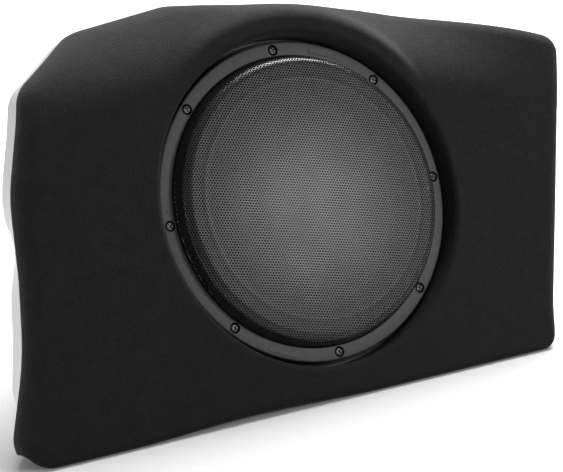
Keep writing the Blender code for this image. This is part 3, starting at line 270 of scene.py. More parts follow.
# %% Group: settled dust, thicker on faces that look up
dust_group, dust_in, dust_out = node_group("settled_dust", [("Amount", 0.2), ("Scale", 160.0)], ["Mask"])
dust_at = object_coordinates(dust_group)
dust_geometry = dust_group.nodes.new("ShaderNodeNewGeometry")
dust_split = dust_group.nodes.new("ShaderNodeSeparateXYZ")
dust_group.links.new(dust_geometry.outputs["Normal"], dust_split.inputs[0])
dust_up = math_node(dust_group, "MULTIPLY_ADD", dust_split.outputs["Z"], 0.55, 0.35, clamp=True)
dust_noise = noise_node(dust_group, dust_at, dust_in.outputs["Scale"], 6.0, 0.75)
dust_specks = ramp(dust_group, dust_noise, 0.48, 0.75)
dust_mask = math_node(dust_group, "MULTIPLY", math_node(dust_group, "MULTIPLY", dust_specks, dust_up),
                      dust_in.outputs["Amount"], clamp=True)
dust_group.links.new(dust_mask, dust_out.inputs["Mask"])
print("group:", dust_group.name)

# %% Group: worn edges, where the rounded normal leaves the true one
wear_group, wear_in, wear_out = node_group("worn_edges", [("Amount", 0.5), ("Scale", 240.0)], ["Mask"])
wear_bevel = wear_group.nodes.new("ShaderNodeBevel")
wear_bevel.inputs["Radius"].default_value = 0.0006
wear_bevel.samples = 4
wear_geometry = wear_group.nodes.new("ShaderNodeNewGeometry")
wear_dot = wear_group.nodes.new("ShaderNodeVectorMath")
wear_dot.operation = "DOT_PRODUCT"
wear_group.links.new(wear_bevel.outputs[0], wear_dot.inputs[0])
wear_group.links.new(wear_geometry.outputs["True Normal"], wear_dot.inputs[1])
wear_bend = math_node(wear_group, "SUBTRACT", 1.0, wear_dot.outputs["Value"])
wear_edge = math_node(wear_group, "MULTIPLY", wear_bend, 9.0, clamp=True)
wear_at = object_coordinates(wear_group)
wear_noise = noise_node(wear_group, wear_at, wear_in.outputs["Scale"], 5.0, 0.7)
wear_break = ramp(wear_group, wear_noise, 0.42, 0.62)
wear_mask = math_node(wear_group, "MULTIPLY", math_node(wear_group, "MULTIPLY", wear_edge, wear_break),
                      wear_in.outputs["Amount"], clamp=True)
wear_group.links.new(wear_mask, wear_out.inputs["Mask"])
print("group:", wear_group.name)

# %% Group: woven cloth, over and under
weave_group, weave_in, weave_out = node_group("plain_weave", [("Pitch", 0.002)], ["Height"])
weave_at = weave_group.nodes.new("ShaderNodeSeparateXYZ")
weave_group.links.new(object_coordinates(weave_group), weave_at.inputs[0])
weave_turn = math_node(weave_group, "DIVIDE", math.pi, weave_in.outputs["Pitch"])
across_turn = math_node(weave_group, "MULTIPLY", weave_at.outputs["X"], weave_turn)
weave_across = math_node(weave_group, "SINE", across_turn)
weave_climb = math_node(weave_group, "SUBTRACT", weave_at.outputs["Z"], weave_at.outputs["Y"])
along_turn = math_node(weave_group, "MULTIPLY", weave_climb, weave_turn)
weave_along = math_node(weave_group, "SINE", along_turn)
weave_over = math_node(weave_group, "MULTIPLY", weave_across, weave_along)
weave_height = math_node(weave_group, "MULTIPLY_ADD", weave_over, 0.5, 0.5)
weave_group.links.new(weave_height, weave_out.inputs["Height"])
print("group:", weave_group.name)

# %% [markdown]
# ## Materials
# One builder makes the plain finishes: it mixes two shades by large soft patches, lays dust
# and wear over them, varies the roughness, and feeds the grain or the brushed lines to a Bump
# node. Numbers that don't change over a surface are set on the shader's own sockets.


# %% Material builder
def place_group(tree, group, **values):
    """Put a node group into a material with its own values; returns its outputs."""
    made = tree.nodes.new("ShaderNodeGroup")
    made.node_tree = group
    for label, value in values.items():
        made.inputs[label].default_value = value
    return made.outputs


def mix_colour(tree, factor, a, b):
    """Mix two colours, each a socket or an (r, g, b)."""
    made = tree.nodes.new("ShaderNodeMix")
    made.data_type = "RGBA"
    tree.links.new(factor, made.inputs["Factor"])
    for socket, value in ((made.inputs["A"], a), (made.inputs["B"], b)):
        if isinstance(value, tuple):
            socket.default_value = (*value, 1.0)
        else:
            tree.links.new(value, socket)
    return made.outputs["Result"]


def bump(tree, shader, height, strength, distance):
    """Feed a height to the shader as a bumped normal."""
    made = tree.nodes.new("ShaderNodeBump")
    made.inputs["Strength"].default_value = strength
    made.inputs["Distance"].default_value = distance
    tree.links.new(height, made.inputs["Height"])
    tree.links.new(made.outputs["Normal"], shader.inputs["Normal"])


def blank_material(name):
    """A new material with its node tree and its Principled shader."""
    made = bpy.data.materials.new(name)
    made.use_nodes = True
    return made, made.node_tree, made.node_tree.nodes["Principled BSDF"]


def finish_material(name, shade, patch_shade, rough, rough_range=0.12, metallic=0.0, grain=900.0,
                    grain_depth=0.00003, brushed=0.0, dust=0.15, wear=0.0, wear_shade=(0.3, 0.3, 0.3),
                    coat=0.0, specular=0.5):
    """A shop finish made of patches, dust, wear, and grain or brushed lines."""
    made, tree, shader = blank_material(name)
    grains = place_group(tree, grain_group, Scale=grain)
    colour = mix_colour(tree, ramp(tree, grains["Patches"], 0.35, 0.65), shade, patch_shade)
    if wear:
        worn = place_group(tree, wear_group, Amount=wear)["Mask"]
        colour = mix_colour(tree, worn, colour, wear_shade)
    dusty = place_group(tree, dust_group, Amount=dust)["Mask"]
    colour = mix_colour(tree, dusty, colour, (0.32, 0.31, 0.29))
    tree.links.new(colour, shader.inputs["Base Color"])
    roughness = math_node(tree, "MULTIPLY_ADD", grains["Patches"], rough_range, rough - rough_range / 2)
    roughness = math_node(tree, "MULTIPLY_ADD", dusty, 0.4, roughness, clamp=True)
    height = grains["Height"]
    if brushed:
        lines = place_group(tree, brush_group, Scale=brushed)["Lines"]
        roughness = math_node(tree, "MULTIPLY_ADD", lines, 0.2, roughness, clamp=True)
        height = lines
    tree.links.new(roughness, shader.inputs["Roughness"])
    shader.inputs["Metallic"].default_value = metallic
    shader.inputs["Coat Weight"].default_value = coat
    shader.inputs["Specular IOR Level"].default_value = specular
    bump(tree, shader, height, 0.6, grain_depth)
    return made


# %% Plastics and rubbers
looks = {}


def add_finishes(table):
    """Build every finish of a table: name, shade, patch shade, roughness, other values."""
    for name, shade, patch_shade, rough, others in table:
        looks[name] = finish_material(name, shade, patch_shade, rough, **others)


add_finishes([
    ("black_moulding", (0.02, 0.02, 0.021), (0.028, 0.028, 0.03), 0.6, {}),
    ("ring_plastic", (0.036, 0.0365, 0.038), (0.042, 0.0425, 0.044), 0.52,
     {"grain": 1400.0, "grain_depth": 0.00002, "dust": 0.10, "wear": 0.25,
      "wear_shade": (0.07, 0.07, 0.07), "specular": 0.3}),
    ("nylon", (0.018, 0.018, 0.019), (0.026, 0.026, 0.027), 0.48, {"wear": 0.2}),
    ("knob_plastic", (0.02, 0.02, 0.021), (0.028, 0.028, 0.028), 0.42, {}),
    ("switch_plastic", (0.72, 0.72, 0.70), (0.66, 0.66, 0.63), 0.35, {"dust": 0.3}),
    ("fuse_plastic", (0.78, 0.33, 0.03), (0.70, 0.28, 0.02), 0.2,
     {"coat": 0.4, "grain_depth": 0.00001}),
    ("surround_rubber", (0.007, 0.007, 0.007), (0.011, 0.011, 0.011), 0.65,
     {"dust": 0.08, "specular": 0.2}),
    ("cone_pp", (0.006, 0.006, 0.0065), (0.009, 0.009, 0.0095), 0.68,
     {"grain": 420.0, "grain_depth": 0.00006, "dust": 0.05, "specular": 0.12}),
    ("seal_foam", (0.012, 0.012, 0.012), (0.02, 0.02, 0.02), 0.95,
     {"grain": 1500.0, "grain_depth": 0.0002}),
    ("epoxy", (0.015, 0.015, 0.016), (0.022, 0.022, 0.022), 0.5, {}),
    ("capacitor_sleeve", (0.015, 0.02, 0.1), (0.02, 0.03, 0.13), 0.3,
     {"coat": 0.5, "grain_depth": 0.00001}),
    ("former_film", (0.5, 0.27, 0.05), (0.58, 0.33, 0.08), 0.3, {"coat": 0.6, "grain_depth": 0.00001}),
    ("wire_red", (0.42, 0.015, 0.012), (0.5, 0.02, 0.018), 0.42, {}),
    ("wire_black", (0.014, 0.014, 0.015), (0.02, 0.02, 0.02), 0.42, {}),
    ("circuit_green", (0.012, 0.11, 0.04), (0.02, 0.17, 0.06), 0.35, {"coat": 0.5, "grain": 500.0}),
])
print("plastics:", len(looks))

# %% Metals
add_finishes([
    ("grille_steel", (0.012, 0.012, 0.0125), (0.016, 0.016, 0.0165), 0.33,
     {"metallic": 0.0, "grain": 2200.0, "grain_depth": 0.00001, "dust": 0.05, "specular": 0.55}),
    # painted shade: the walls of the grille's holes are coloured darker than the web, for the shade inside
    # the holes
    ("painted_hole_shade", (0.006, 0.006, 0.006), (0.009, 0.009, 0.009), 0.6,
     {"grain": 2200.0, "grain_depth": 0.00001, "dust": 0.02, "specular": 0.2}),
    ("black_oxide", (0.012, 0.012, 0.013), (0.02, 0.02, 0.02), 0.32,
     {"metallic": 0.7, "wear": 0.5, "wear_shade": (0.2, 0.2, 0.2)}),
    ("painted_steel", (0.018, 0.018, 0.019), (0.026, 0.026, 0.028), 0.38,
     {"wear": 0.4, "grain": 1600.0}),
    ("bracket_steel", (0.022, 0.022, 0.023), (0.03, 0.03, 0.03), 0.45, {"wear": 0.6, "grain": 1200.0}),
    ("zinc_steel", (0.52, 0.53, 0.55), (0.62, 0.62, 0.6), 0.34,
     {"metallic": 1.0, "grain": 600.0, "wear": 0.2, "wear_shade": (0.8, 0.8, 0.8)}),
    ("zinc_sheet", (0.5, 0.51, 0.53), (0.6, 0.61, 0.62), 0.38, {"metallic": 1.0, "grain": 240.0}),
    ("black_anodised", (0.022, 0.022, 0.024), (0.028, 0.028, 0.03), 0.36,
     {"metallic": 0.6, "brushed": 420.0, "grain_depth": 0.00002, "wear": 0.25,
      "wear_shade": (0.30, 0.30, 0.31), "dust": 0.05}),
    ("coil_copper", (0.6, 0.26, 0.1), (0.72, 0.34, 0.15), 0.28, {"metallic": 1.0, "brushed": 900.0}),
    ("enamelled_wire", (0.42, 0.16, 0.05), (0.55, 0.24, 0.08), 0.3,
     {"metallic": 0.8, "brushed": 700.0, "grain_depth": 0.0002}),
    ("tinsel", (0.6, 0.3, 0.14), (0.7, 0.38, 0.2), 0.5,
     {"metallic": 0.9, "brushed": 1500.0, "grain_depth": 0.0001}),
    ("ferrite", (0.035, 0.035, 0.038), (0.06, 0.06, 0.065), 0.65,
     {"grain": 380.0, "grain_depth": 0.00008, "wear": 0.4}),
    ("gold_plate", (0.78, 0.55, 0.2), (0.85, 0.62, 0.25), 0.22,
     {"metallic": 1.0, "grain_depth": 0.00001}),
])
print("with metals:", len(looks))

# %% [markdown]
# ## Carpet material
# Car carpet is needle-punched polyester: a mat of matte black fibres with no pile direction.
# Seen close it is a tangle, and from a distance it is a soft black that turns paler at a
# grazing angle, where the fibre tips catch light. Stretched noise in three directions makes
# the tangle, a sheen lobe makes the pale edge, and a few grey flecks are lint.

# %% Carpet
looks["black_carpet"], tree, shader = blank_material("black_carpet")
spot = object_coordinates(tree)
strands = []
for stretch in ((1.0, 0.16, 0.3), (0.18, 1.0, 0.6), (0.5, 0.3, 1.0)):
    strands.append(ramp(tree, noise_node(tree, spot, 1500.0, 3.0, 0.6, stretch), 0.35, 0.7))
tangle = math_node(tree, "MAXIMUM", math_node(tree, "MAXIMUM", strands[0], strands[1]), strands[2])
clumps = ramp(tree, noise_node(tree, spot, 90.0, 4.0, 0.65), 0.3, 0.7)
fibre = mix_colour(tree, tangle, (0.0024, 0.0024, 0.0026), (0.0086, 0.0086, 0.0090))
fibre = mix_colour(tree, math_node(tree, "MULTIPLY", clumps, 0.45), fibre, (0.0112, 0.0112, 0.0116))
lint = place_group(tree, dust_group, Amount=0.30, Scale=420.0)["Mask"]
fibre = mix_colour(tree, lint, fibre, (0.05, 0.05, 0.05))
tree.links.new(fibre, shader.inputs["Base Color"])
shader.inputs["Roughness"].default_value = 0.95
shader.inputs["Specular IOR Level"].default_value = 0.12
shader.inputs["Sheen Weight"].default_value = 0.07
shader.inputs["Sheen Roughness"].default_value = 0.35
shader.inputs["Sheen Tint"].default_value = (0.75, 0.76, 0.78, 1.0)
bump(tree, shader, math_node(tree, "MULTIPLY_ADD", clumps, 0.6, tangle), 0.7, 0.0005)

# %% [markdown]
# ## Gelcoat, board and cloth materials
# The rear shell is hand-laid fibreglass. Its pale gelcoat lets the woven roving print through
# as a faint checker, with a few pinholes. The baffle is brown fibreboard, and the spider is
# resin-dipped cotton whose weave is the same group at a finer pitch.

# %% Gelcoat
looks["grey_gelcoat"], tree, shader = blank_material("grey_gelcoat")
spot = object_coordinates(tree)
clouds = noise_node(tree, spot, 9.0, 5.0, 0.6)
gel = mix_colour(tree, ramp(tree, clouds, 0.3, 0.7), (0.30, 0.305, 0.31), (0.35, 0.35, 0.35))
roving = place_group(tree, weave_group, Pitch=0.006)["Height"]
gel = mix_colour(tree, math_node(tree, "MULTIPLY", roving, 0.12), gel, (0.23, 0.24, 0.24))
pinholes = ramp(tree, noise_node(tree, spot, 700.0, 2.0, 0.5), 0.70, 0.74)
gel = mix_colour(tree, pinholes, gel, (0.15, 0.15, 0.15))
grime = place_group(tree, dust_group, Amount=0.25, Scale=60.0)["Mask"]
gel = mix_colour(tree, grime, gel, (0.28, 0.27, 0.25))
tree.links.new(gel, shader.inputs["Base Color"])
tree.links.new(math_node(tree, "MULTIPLY_ADD", clouds, 0.25, 0.28), shader.inputs["Roughness"])
shader.inputs["Coat Weight"].default_value = 0.15
relief = math_node(tree, "MULTIPLY_ADD", clouds, 2.0, roving)
relief = math_node(tree, "SUBTRACT", relief, pinholes)
bump(tree, shader, relief, 0.5, 0.00025)

# %% Fibreboard, spider cloth, LED lens and floor
looks["mdf"], tree, shader = blank_material("mdf")
chips = noise_node(tree, object_coordinates(tree), 900.0, 4.0, 0.7, (0.3, 1.0, 1.0))
tree.links.new(mix_colour(tree, chips, (0.28, 0.18, 0.10), (0.52, 0.37, 0.22)), shader.inputs["Base Color"])
tree.links.new(math_node(tree, "MULTIPLY_ADD", chips, 0.2, 0.7), shader.inputs["Roughness"])
bump(tree, shader, chips, 0.6, 0.0002)

looks["spider_cloth"], tree, shader = blank_material("spider_cloth")
threads = place_group(tree, weave_group, Pitch=0.0011)["Height"]
cotton = mix_colour(tree, threads, (0.50, 0.36, 0.10), (0.78, 0.62, 0.26))
tree.links.new(cotton, shader.inputs["Base Color"])
tree.links.new(math_node(tree, "MULTIPLY_ADD", threads, -0.2, 0.85), shader.inputs["Roughness"])
shader.inputs["Sheen Weight"].default_value = 0.2
bump(tree, shader, threads, 0.7, 0.0003)

looks["led_lens"], tree, shader = blank_material("led_lens")
swirl = noise_node(tree, object_coordinates(tree), 1200.0, 2.0)
tree.links.new(mix_colour(tree, swirl, (0.02, 0.08, 0.55), (0.04, 0.14, 0.7)), shader.inputs["Base Color"])
tree.links.new(math_node(tree, "MULTIPLY_ADD", swirl, 0.05, 0.08), shader.inputs["Roughness"])
shader.inputs["Coat Weight"].default_value = 1.0

floor_look, tree, shader = blank_material("studio_paper")
paper = noise_node(tree, object_coordinates(tree), 3.0, 3.0)
tree.links.new(mix_colour(tree, paper, (0.46, 0.46, 0.46), (0.48, 0.48, 0.48)), shader.inputs["Base Color"])
shader.inputs["Roughness"].default_value = 0.9
shader.inputs["Specular IOR Level"].default_value = 0.1
floor.data.materials.append(floor_look)
print("materials:", sorted(looks))

# %% [markdown]
# ## Carried-over parts
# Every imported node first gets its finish, slot by slot, as the record lists them. The ones
# that no fine piece replaces further down, such as the basket and the wires, stay as packed.

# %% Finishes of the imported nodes
slot_of = {part["node"]: part["material_slot"] for part in frame["record"]["subparts"]}
for label, node in nodes.items():
    node.data.materials.clear()
    node.data.materials.append(looks[slot_of[label]])
print("slots in use:", len(set(slot_of.values())))

# %% [markdown]
# ## Building fine pieces
# A fine piece is plain mesh data with its corners rounded for real, not by shading alone.
# `rounded_outline` turns a short list of corners with fillet radii into a smooth closed line.
# The same function serves the face of the enclosure and the profiles that are turned.


# %% Helpers: make a piece, round an outline, turn a profile
def make_piece(name, mesh, slot, body="enclosure", stands_for=(), smooth=32, look=None):
    """Link a mesh built in world coordinates, finish it, and let it ride on its body."""
    made = linked(name, mesh)
    mesh.materials.clear()
    mesh.materials.append(looks[look or slot])
    mesh.shade_smooth()
    mesh.set_sharp_from_angle(angle=math.radians(smooth))
    if body:
        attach(made, body)
    if stands_for:
        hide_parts(*stands_for)
    return made


def to_mesh(name, bm, matrix=None):
    """Weld and orient an edited mesh, store it as mesh data, and carry it by a matrix."""
    bmesh.ops.remove_doubles(bm, verts=bm.verts, dist=1e-7)
    bmesh.ops.recalc_face_normals(bm, faces=bm.faces)
    mesh = bpy.data.meshes.new(name)
    bm.to_mesh(mesh)
    bm.free()
    if matrix is not None:
        mesh.transform(matrix)
    return mesh


def rounded_outline(corners, spacing, arc_step):
    """Points and outward normals round a polygon of (x, y, fillet radius), anticlockwise."""
    count = len(corners)
    arcs = []
    for i in range(count):
        here = Vector(corners[i][:2])
        before = (here - Vector(corners[i - 1][:2])).normalized()
        after = (Vector(corners[(i + 1) % count][:2]) - here).normalized()
        turn = math.atan2(before.x * after.y - before.y * after.x, before.dot(after))
        radius = corners[i][2]
        side = 1.0 if turn > 0 else -1.0
        inward = Vector((-before.y, before.x)) * radius * side
        centre = here - before * radius * math.tan(abs(turn) / 2) + inward
        steps = max(1 if radius == 0 else 2, math.ceil(abs(turn) / arc_step)) if radius else 0
        arc = []
        for k in range(steps + 1):
            heading = math.atan2(before.y, before.x) + (turn * k / steps if steps else turn / 2)
            out = Vector((math.sin(heading), -math.cos(heading)))
            arc.append((centre + out * radius * side if radius else here.copy(), out))
        arcs.append(arc)
    found = []
    for i in range(count):
        found += arcs[i]
        start, out = arcs[i][-1]
        end = arcs[(i + 1) % count][0][0]
        pieces = max(1, math.ceil((end - start).length / spacing))
        for k in range(1, pieces):
            found.append((start.lerp(end, k / pieces), out))
    return found


def turned(name, corners, steps, matrix, arc_step=math.radians(22), flutes=0, flute_depth=0.0):
    """Turn a closed (radius, z, fillet) profile about local z; flutes cut grip grooves in it."""
    profile = [p for p, _ in rounded_outline(corners, 1.0, arc_step)]
    widest = max(p.x for p in profile)
    bm = bmesh.new()
    rings = []
    for k in range(steps):
        a = 2 * math.pi * k / steps
        ring = []
        for p in profile:
            cut = flute_depth * max(0.0, math.cos(flutes * a)) if flutes and p.x > 0.8 * widest else 0.0
            ring.append(bm.verts.new(((p.x - cut) * math.cos(a), (p.x - cut) * math.sin(a), p.y)))
        rings.append(ring)
    for k in range(steps):
        here, after = rings[k], rings[(k + 1) % steps]
        for i in range(len(profile)):
            j = (i + 1) % len(profile)
            if max(profile[i].x, profile[j].x) > 1e-7:
                bm.faces.new((here[i], after[i], after[j], here[j]))
    bmesh.ops.remove_doubles(bm, verts=bm.verts, dist=1e-7)
    bmesh.ops.dissolve_degenerate(bm, edges=bm.edges, dist=1e-8)
    return to_mesh(name, bm, matrix)


def applied(made):
    """Bake an object's modifiers into a fresh mesh and drop the modifiers."""
    bpy.context.view_layer.update()
    evaluated = made.evaluated_get(bpy.context.evaluated_depsgraph_get())
    mesh = bpy.data.meshes.new_from_object(evaluated)
    made.modifiers.clear()
    made.data = mesh
    return made


def cut_away(made, tool_mesh, crossing=False):
    """Subtract a mesh from a piece and bake it; crossing allows a tool whose parts overlap."""
    tool = linked("tool", tool_mesh)
    step = made.modifiers.new("cut", "BOOLEAN")
    step.operation = "DIFFERENCE"
    step.solver = "EXACT"
    step.use_self = crossing
    step.object = tool
    applied(made)
    bpy.data.objects.remove(tool)
    return made


# %% [markdown]
# ## The carpeted front
# The front moulding has a flat face, a rounded recess for the woofer, and a top that falls
# back on both sides of a raised pod. The carpet is one sheet bonded over it, so its surface
# is a loft of loops that run from the recess wall, over the lip, across the face and round
# the edge to a folded hem. A little noise along the surface stands for the give of the mat.

# %% Sizes of the face
REACH_LEFT, REACH_RIGHT, REACH_DOWN, REACH_UP = 313 * MM, 298 * MM, 173 * MM, 186 * MM
RECESS_R, LIP_R, CREST_R = 143 * MM, 5 * MM, 156 * MM
CARPET_T, RIM_DEPTH, SEAT_DEPTH = 3 * MM, 20 * MM, 26.6 * MM
EDGE_SIDE, EDGE_BASE, BASE_ARCH = 13 * MM, 7 * MM, 4.5 * MM
SCOOP_DROP, SCOOP_RUN, CREST_BEND = 40 * MM, 66 * MM, 9 * MM
L, R, U, D = REACH_LEFT, REACH_RIGHT, REACH_UP, REACH_DOWN
face_corners = [
    (-1.01 * L, -D, 26 * MM),
    (-0.62 * L, -D, 900 * MM),
    (-0.31 * L, -D + BASE_ARCH, 900 * MM),
    (0.034 * R, -D, 900 * MM),
    (0.716 * R, -D, 16 * MM),
    (R, 0.567 * U, 17 * MM),
    (0.45 * R, 0.875 * U, 120 * MM),
    (-0.02 * L, 0.958 * U, 200 * MM),
    (-0.235 * L, 1.02 * U, 40 * MM),
    (-0.525 * L, 0.955 * U, 50 * MM),
    (-0.757 * L, 0.70 * U, 36 * MM),
    (-0.845 * L, 0.25 * U, 150 * MM),
    (-0.868 * L, -0.11 * U, 200 * MM),
    (-0.901 * L, -0.47 * D, 250 * MM),
]


# %% The face's outline, spokes and crown
def smoothstep(low, high, value):
    """Share of the way from low to high, held to 0..1 and eased at both ends."""
    t = min(1.0, max(0.0, (value - low) / (high - low)))
    return t * t * (3 - 2 * t)


def even_spokes(outline, rounds):
    """Directions of the outline's points from the woofer axis, smoothed round the circle."""
    angles = np.unwrap([math.atan2(p.y, p.x) for p, _ in outline])
    for _ in range(rounds):
        before = np.roll(angles, 1)
        before[0] -= 2 * math.pi
        after = np.roll(angles, -1)
        after[-1] += 2 * math.pi
        angles = 0.5 * angles + 0.25 * (before + after)
    return angles


def crown(x, y):
    """Fall of the face behind its flat plane: a scoop along the top, held off by the pod."""
    top = U - (x + 0.13 * L) * (U * 0.42 / (R + 0.13 * L)) if x > -0.13 * L else U + (x + 0.13 * L) * 0.12
    fade = smoothstep(0.93 * R, 0.42 * R, x) if x > 0 else smoothstep(-1.02 * L, -0.50 * L, x) * 0.75 + 0.25
    t = max(0.0, (y - (top - SCOOP_RUN)) / SCOOP_RUN)
    scoop = SCOOP_DROP * (0.12 + 0.88 * fade) * t * t if x > 0 else SCOOP_DROP * fade * t * t
    out = max(0.0, math.hypot(x, y) - CREST_R)
    pod = out * out / (2 * CREST_BEND) if out < 1.8 * CREST_BEND else 1.8 * (out - 0.9 * CREST_BEND)
    if scoop < 1e-9 or pod < 1e-9:
        return 0.0
    return -scoop * pod / (scoop ** 3 + pod ** 3) ** (1 / 3)


def shaped(p):
    """Bend a point of the flat-fronted shell: base walls run level, the top falls back."""
    level = smoothstep(-(D - 20 * MM), -(D - 8.5 * MM), p.y)
    return Vector((p.x, p.y - p.z * math.tan(FACE_LEAN) * level, p.z + crown(p.x, p.y)))


def edge_radius(y):
    """Rounding of the outer edge: small along the base, larger along the sides and the top."""
    return EDGE_BASE + (EDGE_SIDE - EDGE_BASE) * smoothstep(-0.96 * D, -0.74 * D, y)


def skin(name, loops, matrix):
    """A closed surface through loops of equal count; the last loop joins the first."""
    count = len(loops[0])
    verts = [p for loop in loops for p in loop]
    faces = []
    rows = len(loops)
    for k in range(rows):
        a, b = k * count, ((k + 1) % rows) * count
        for i in range(count):
            j = (i + 1) % count
            faces.append((a + i, a + j, b + j, b + i))
    mesh = bpy.data.meshes.new(name)
    mesh.from_pydata([tuple(v) for v in verts], [], faces)
    mesh.validate()
    bm = bmesh.new()
    bm.from_mesh(mesh)
    bpy.data.meshes.remove(mesh)
    return to_mesh(name, bm, matrix)


# %% The carpet as one closed sheet
face_outline = rounded_outline(face_corners, 4 * MM, math.radians(5))
spokes = even_spokes(face_outline, 1800)
WALL_STEPS, LIP_STEPS, FACE_STEPS, EDGE_STEPS, UNDER_STEPS = 4, 8, 44, 8, 16


def ring_of(radius, depth):
    """A circle of points on the spokes, depth below the plane of the face."""
    return [Vector((radius * math.cos(a), radius * math.sin(a), -depth)) for a in spokes]


LEAST_EDGE = 0.5 * MM                 # the inner face keeps at least this much rounding


def edge_start(point, out, off):
    """Where the face ends and its outer rounding starts, on the loft of one layer."""
    return point - out * (off + max(edge_radius(point.y) - off, LEAST_EDGE))


def layer(off, face_steps):
    """Loops of the sheet, off below its outer face, from the recess floor to the rim."""
    loops = []
    wall, lip = RECESS_R + off, max(LIP_R - off, 0.4 * MM)
    for k in range(WALL_STEPS):
        depth = SEAT_DEPTH + (off + lip - SEAT_DEPTH) * k / WALL_STEPS
        loops.append(ring_of(wall, depth))
    for k in range(LIP_STEPS + 1):
        a = math.pi / 2 * k / LIP_STEPS
        loops.append(ring_of(wall + lip * (1 - math.cos(a)), off + lip * (1 - math.sin(a))))
    inner = loops[-1]
    starts = [edge_start(p, out, off) for p, out in face_outline]
    for k in range(1, face_steps):
        t = k / face_steps
        loops.append([Vector((a.x + (b.x - a.x) * t, a.y + (b.y - a.y) * t, -off))
                      for a, b in zip(inner, starts)])
    for k in range(EDGE_STEPS + 1):
        a = math.pi / 2 * k / EDGE_STEPS
        loop = []
        for p, out in face_outline:
            edge = max(edge_radius(p.y) - off, LEAST_EDGE)
            flat = p - out * (off + edge * (1 - math.sin(a)))
            loop.append(Vector((flat.x, flat.y, -off - edge * (1 - math.cos(a)))))
        loops.append(loop)
    return loops


def hem_loops():
    """The folded edge of the carpet: a half-round from the outer face to the inner one."""
    loops = []
    middle, half = CARPET_T / 2, CARPET_T / 2
    for k in range(7):
        a = math.pi * k / 6
        loop = []
        for p, out in face_outline:
            flat = p - out * (middle - half * math.cos(a))
            loop.append(Vector((flat.x, flat.y, -RIM_DEPTH + half - half * math.sin(a))))
        loops.append(loop)
    return loops


def carpet_give(p):
    """Unevenness of the bonded mat: slow waves under a finer quilt."""
    slow = noise.noise(p * 16.0)
    quilt = noise.noise(p * 85.0 + Vector((5.0, 1.0, 2.0)))
    return 0.35 * MM * slow + 0.10 * MM * quilt


carpet_loops = [[shaped(p) for p in loop] for loop in layer(0.0, FACE_STEPS)]
carpet_loops = [[p + Vector((0, 0, carpet_give(p) - 0.2 * MM)) for p in loop] for loop in carpet_loops]
carpet_loops += [[shaped(p) for p in loop] for loop in hem_loops()]
carpet_loops += [[shaped(p) for p in loop] for loop in layer(CARPET_T, UNDER_STEPS)[::-1]]
carpet_mesh = skin("carpet_sheet", carpet_loops, face_matrix)
make_piece("carpet_sheet", carpet_mesh, "black_carpet", stands_for=("carpet_cover",), smooth=60)
print("carpet:", len(carpet_mesh.vertices), "vertices,", len(spokes), "spokes")

# %% [markdown]
# ## The rear shell
# The bare fibreglass rear runs straight back from the joint, tucks in behind the foot, and
# narrows like a hull to the flat wall that carries the amplifier. It is lofted in the same
# way as the carpet, with an inner skin, and the openings are cut afterwards with a Boolean.

# %% Sizes of the rear shell
REAR_STEP, REAR_WALL, BOND_GAP = 1.2 * MM, 4 * MM, 1.0 * MM
REAR_STRAIGHT, REAR_TUCK, WAIST_TUCK, BACK_ROUND = 21 * MM, 18 * MM, 7 * MM, 6 * MM
BACK_RISE = 0.66
back_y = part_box("rear_shell")[1].y
back_left = face_origin.x - 0.58 * L
back_right = face_origin.x + 0.97 * R
outline_left = min(p.x for p, _ in face_outline)
outline_right = max(p.x for p, _ in face_outline)


# %% Loft of the rear shell
def rear_section(depth, wall, tucked):
    """The shell's section near the joint, wall in from its outer face, in world coordinates."""
    ring = []
    for p, out in rear_outline:
        left = smoothstep(0.2, 0.8, -out.x)
        low = smoothstep(-0.55 * D, -0.80 * D, p.y)
        waist = math.exp(-((p.y - 0.03 * U) / (0.12 * U)) ** 2)
        tuck = left * (low * REAR_TUCK + waist * WAIST_TUCK) * tucked
        flat = p - out * (REAR_STEP + wall + tuck)
        ring.append(face_matrix @ shaped(Vector((flat.x, flat.y, -depth))))
    return ring


def back_section(y, inset):
    """The face's outline narrowed on to the back wall, inset along its own normals."""
    wide = (back_right - back_left) / (outline_right - outline_left)
    ring = []
    for p, (flat, out) in zip(rear_section(RIM_DEPTH + BOND_GAP, 0.0, 0.0), rear_outline):
        lean_out = Vector((out.x / wide, out.y / BACK_RISE)).normalized()
        x = back_left + (p.x - face_origin.x - outline_left) * wide - lean_out.x * inset
        ring.append(Vector((x, y, p.z * BACK_RISE - lean_out.y * inset)))
    return ring


def rear_surface(wall, hull_steps, round_steps):
    """Loops of the shell from the joint to the back wall, wall in from the outer face."""
    loops = []
    for k in range(7):
        t = k / 6
        depth = RIM_DEPTH + BOND_GAP + (REAR_STRAIGHT - BOND_GAP) * t
        loops.append(rear_section(depth, wall, t))
    first = loops[-1]
    ahead = [a - b for a, b in zip(loops[-1], loops[-2])]
    last = back_section(back_y - BACK_ROUND, wall)
    for k in range(1, hull_steps):
        t = k / hull_steps
        ease = t * t * (3 - 2 * t) * 0.35 + t * 0.65
        loops.append([a.lerp(b, ease) + d * 3.0 * t * (1 - t) ** 2 for a, b, d in zip(first, last, ahead)])
    radius = BACK_ROUND - wall
    for k in range(round_steps + 1):
        a = math.pi / 2 * k / round_steps
        y = back_y - BACK_ROUND + radius * math.sin(a)
        loops.append(back_section(y, wall + radius * (1 - math.cos(a))))
    return loops


